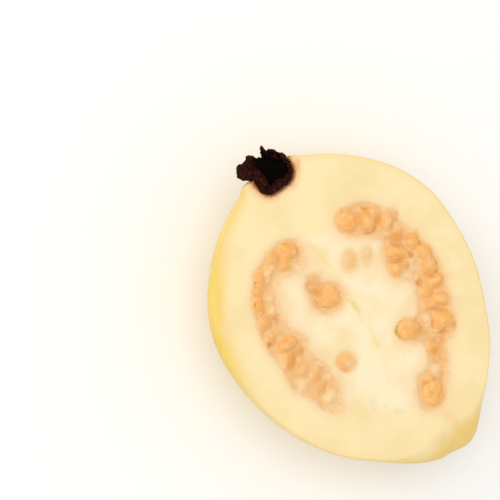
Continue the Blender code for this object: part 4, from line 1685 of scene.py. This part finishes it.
@dataclass(frozen=True)
class Stage:
    """Plain pale floor, soft studio light and the camera that looks down on the cut face."""

    floor_colour: str = "#FDFDFC"
    floor_light: str = "#FFFFFE"
    floor_half: float = 1.5
    lens: float = 150.0
    sensor: float = 36.0
    tilt: float = 14.0  # of the view from upright, towards the fruit's left side, in degrees
    up: tuple[float, float, float] = (0.588, 0.809, 0.0)
    aim: tuple[float, float] = (-13.2, 11.9)  # (x, along) in the middle of the view
    view_width: float = 110.0  # at the cut face, in millimetres
    world_strength: float = 0.705
    # Name, place and width in metres, and power in watts.
    lamps: tuple[tuple[str, tuple[float, float, float], float, float], ...] = (
        ("overhead", (-0.15, 0.3, 1.2), 0.9, 4.9),
        ("side", (-0.35, 0.75, 0.45), 0.35, 0.8),
    )

    def build(self) -> None:
        """Makes floor, lights, world and camera."""
        self.floor()
        self.lights()
        self.camera()

    def floor(self) -> None:
        """Makes the floor, a wide pale matt board."""
        material, tree, shader = new_material("pale_matt_board")
        place = add_node(tree, "ShaderNodeTexCoord", out="Object")
        mottle = add_node(tree, "ShaderNodeTexNoise", {"Vector": place, "Scale": 8.0, "Detail": 2.0})
        tints = {0: mottle, 6: linear(self.floor_colour), 7: linear(self.floor_light)}
        tint = add_node(tree, "ShaderNodeMix", tints, out=2, data_type="RGBA")
        tree.links.new(tint, shader.inputs["Base Color"])
        shader.inputs["Roughness"].default_value = 0.9
        bm = bmesh.new()
        bmesh.ops.create_grid(bm, x_segments=1, y_segments=1, size=self.floor_half)
        mesh = bpy.data.meshes.new("floor")
        bm.to_mesh(mesh)
        bm.free()
        mesh.materials.append(material)
        add_object("floor", mesh)

    def lights(self) -> None:
        """Makes a broad soft light overhead, a weaker one from the upper left, and a pale world."""
        world = bpy.data.worlds.new("studio")
        world.use_nodes = True
        background = world.node_tree.nodes["Background"]
        background.inputs["Color"].default_value = (1.0, 1.0, 1.0, 1.0)
        background.inputs["Strength"].default_value = self.world_strength
        bpy.context.scene.world = world
        for name, place, width, power in self.lamps:
            light = bpy.data.lights.new(name, "AREA")
            light.energy = power
            light.shape = "DISK"
            light.size = width
            lamp = add_object(name, light)
            lamp.location = place
            lamp.rotation_euler = (-Vector(place)).to_track_quat("-Z", "Y").to_euler()

    def camera(self) -> None:
        """Makes the camera and shows colours without a film curve."""
        up = Vector(self.up).normalized()
        left = Vector((-up.y, up.x, 0.0))
        tilt = math.radians(self.tilt)
        back = left * math.sin(tilt) + Vector((0.0, 0.0, math.cos(tilt)))
        data = bpy.data.cameras.new("camera")
        data.lens = self.lens
        data.sensor_width = self.sensor
        data.clip_start = 0.01
        camera = add_object("camera", data)
        turn = Matrix((up.cross(back), up, back)).transposed().to_4x4()
        place = in_frame(*self.aim) + back * self.view_width * MM * self.lens / self.sensor
        camera.matrix_world = Matrix.Translation(place) @ turn
        bpy.context.scene.camera = camera
        bpy.context.scene.view_settings.view_transform = "Standard"


def main() -> None:
    """Builds the fruit, its finishes and the stage around it."""
    logging.basicConfig(level=logging.INFO, format="%(name)s %(message)s")
    fruit = FruitFinish().build()
    FruitBody().build(fruit)
    PulpBed("seeds_left", LEFT_SEEDS, LEFT_ARCH).build(fruit)
    PulpBed("seeds_right", RIGHT_SEEDS, RIGHT_ARCH).build(fruit)
    for node, seeds in LONE_SEEDS.items():
        PulpBed(node, seeds, PAIR if node == "seed_pair" else None).build(fruit)
    dry = DryCalyxFinish().build()
    Calyx().build(dry)
    Stage().build()


if __name__ == "__main__":
    main()
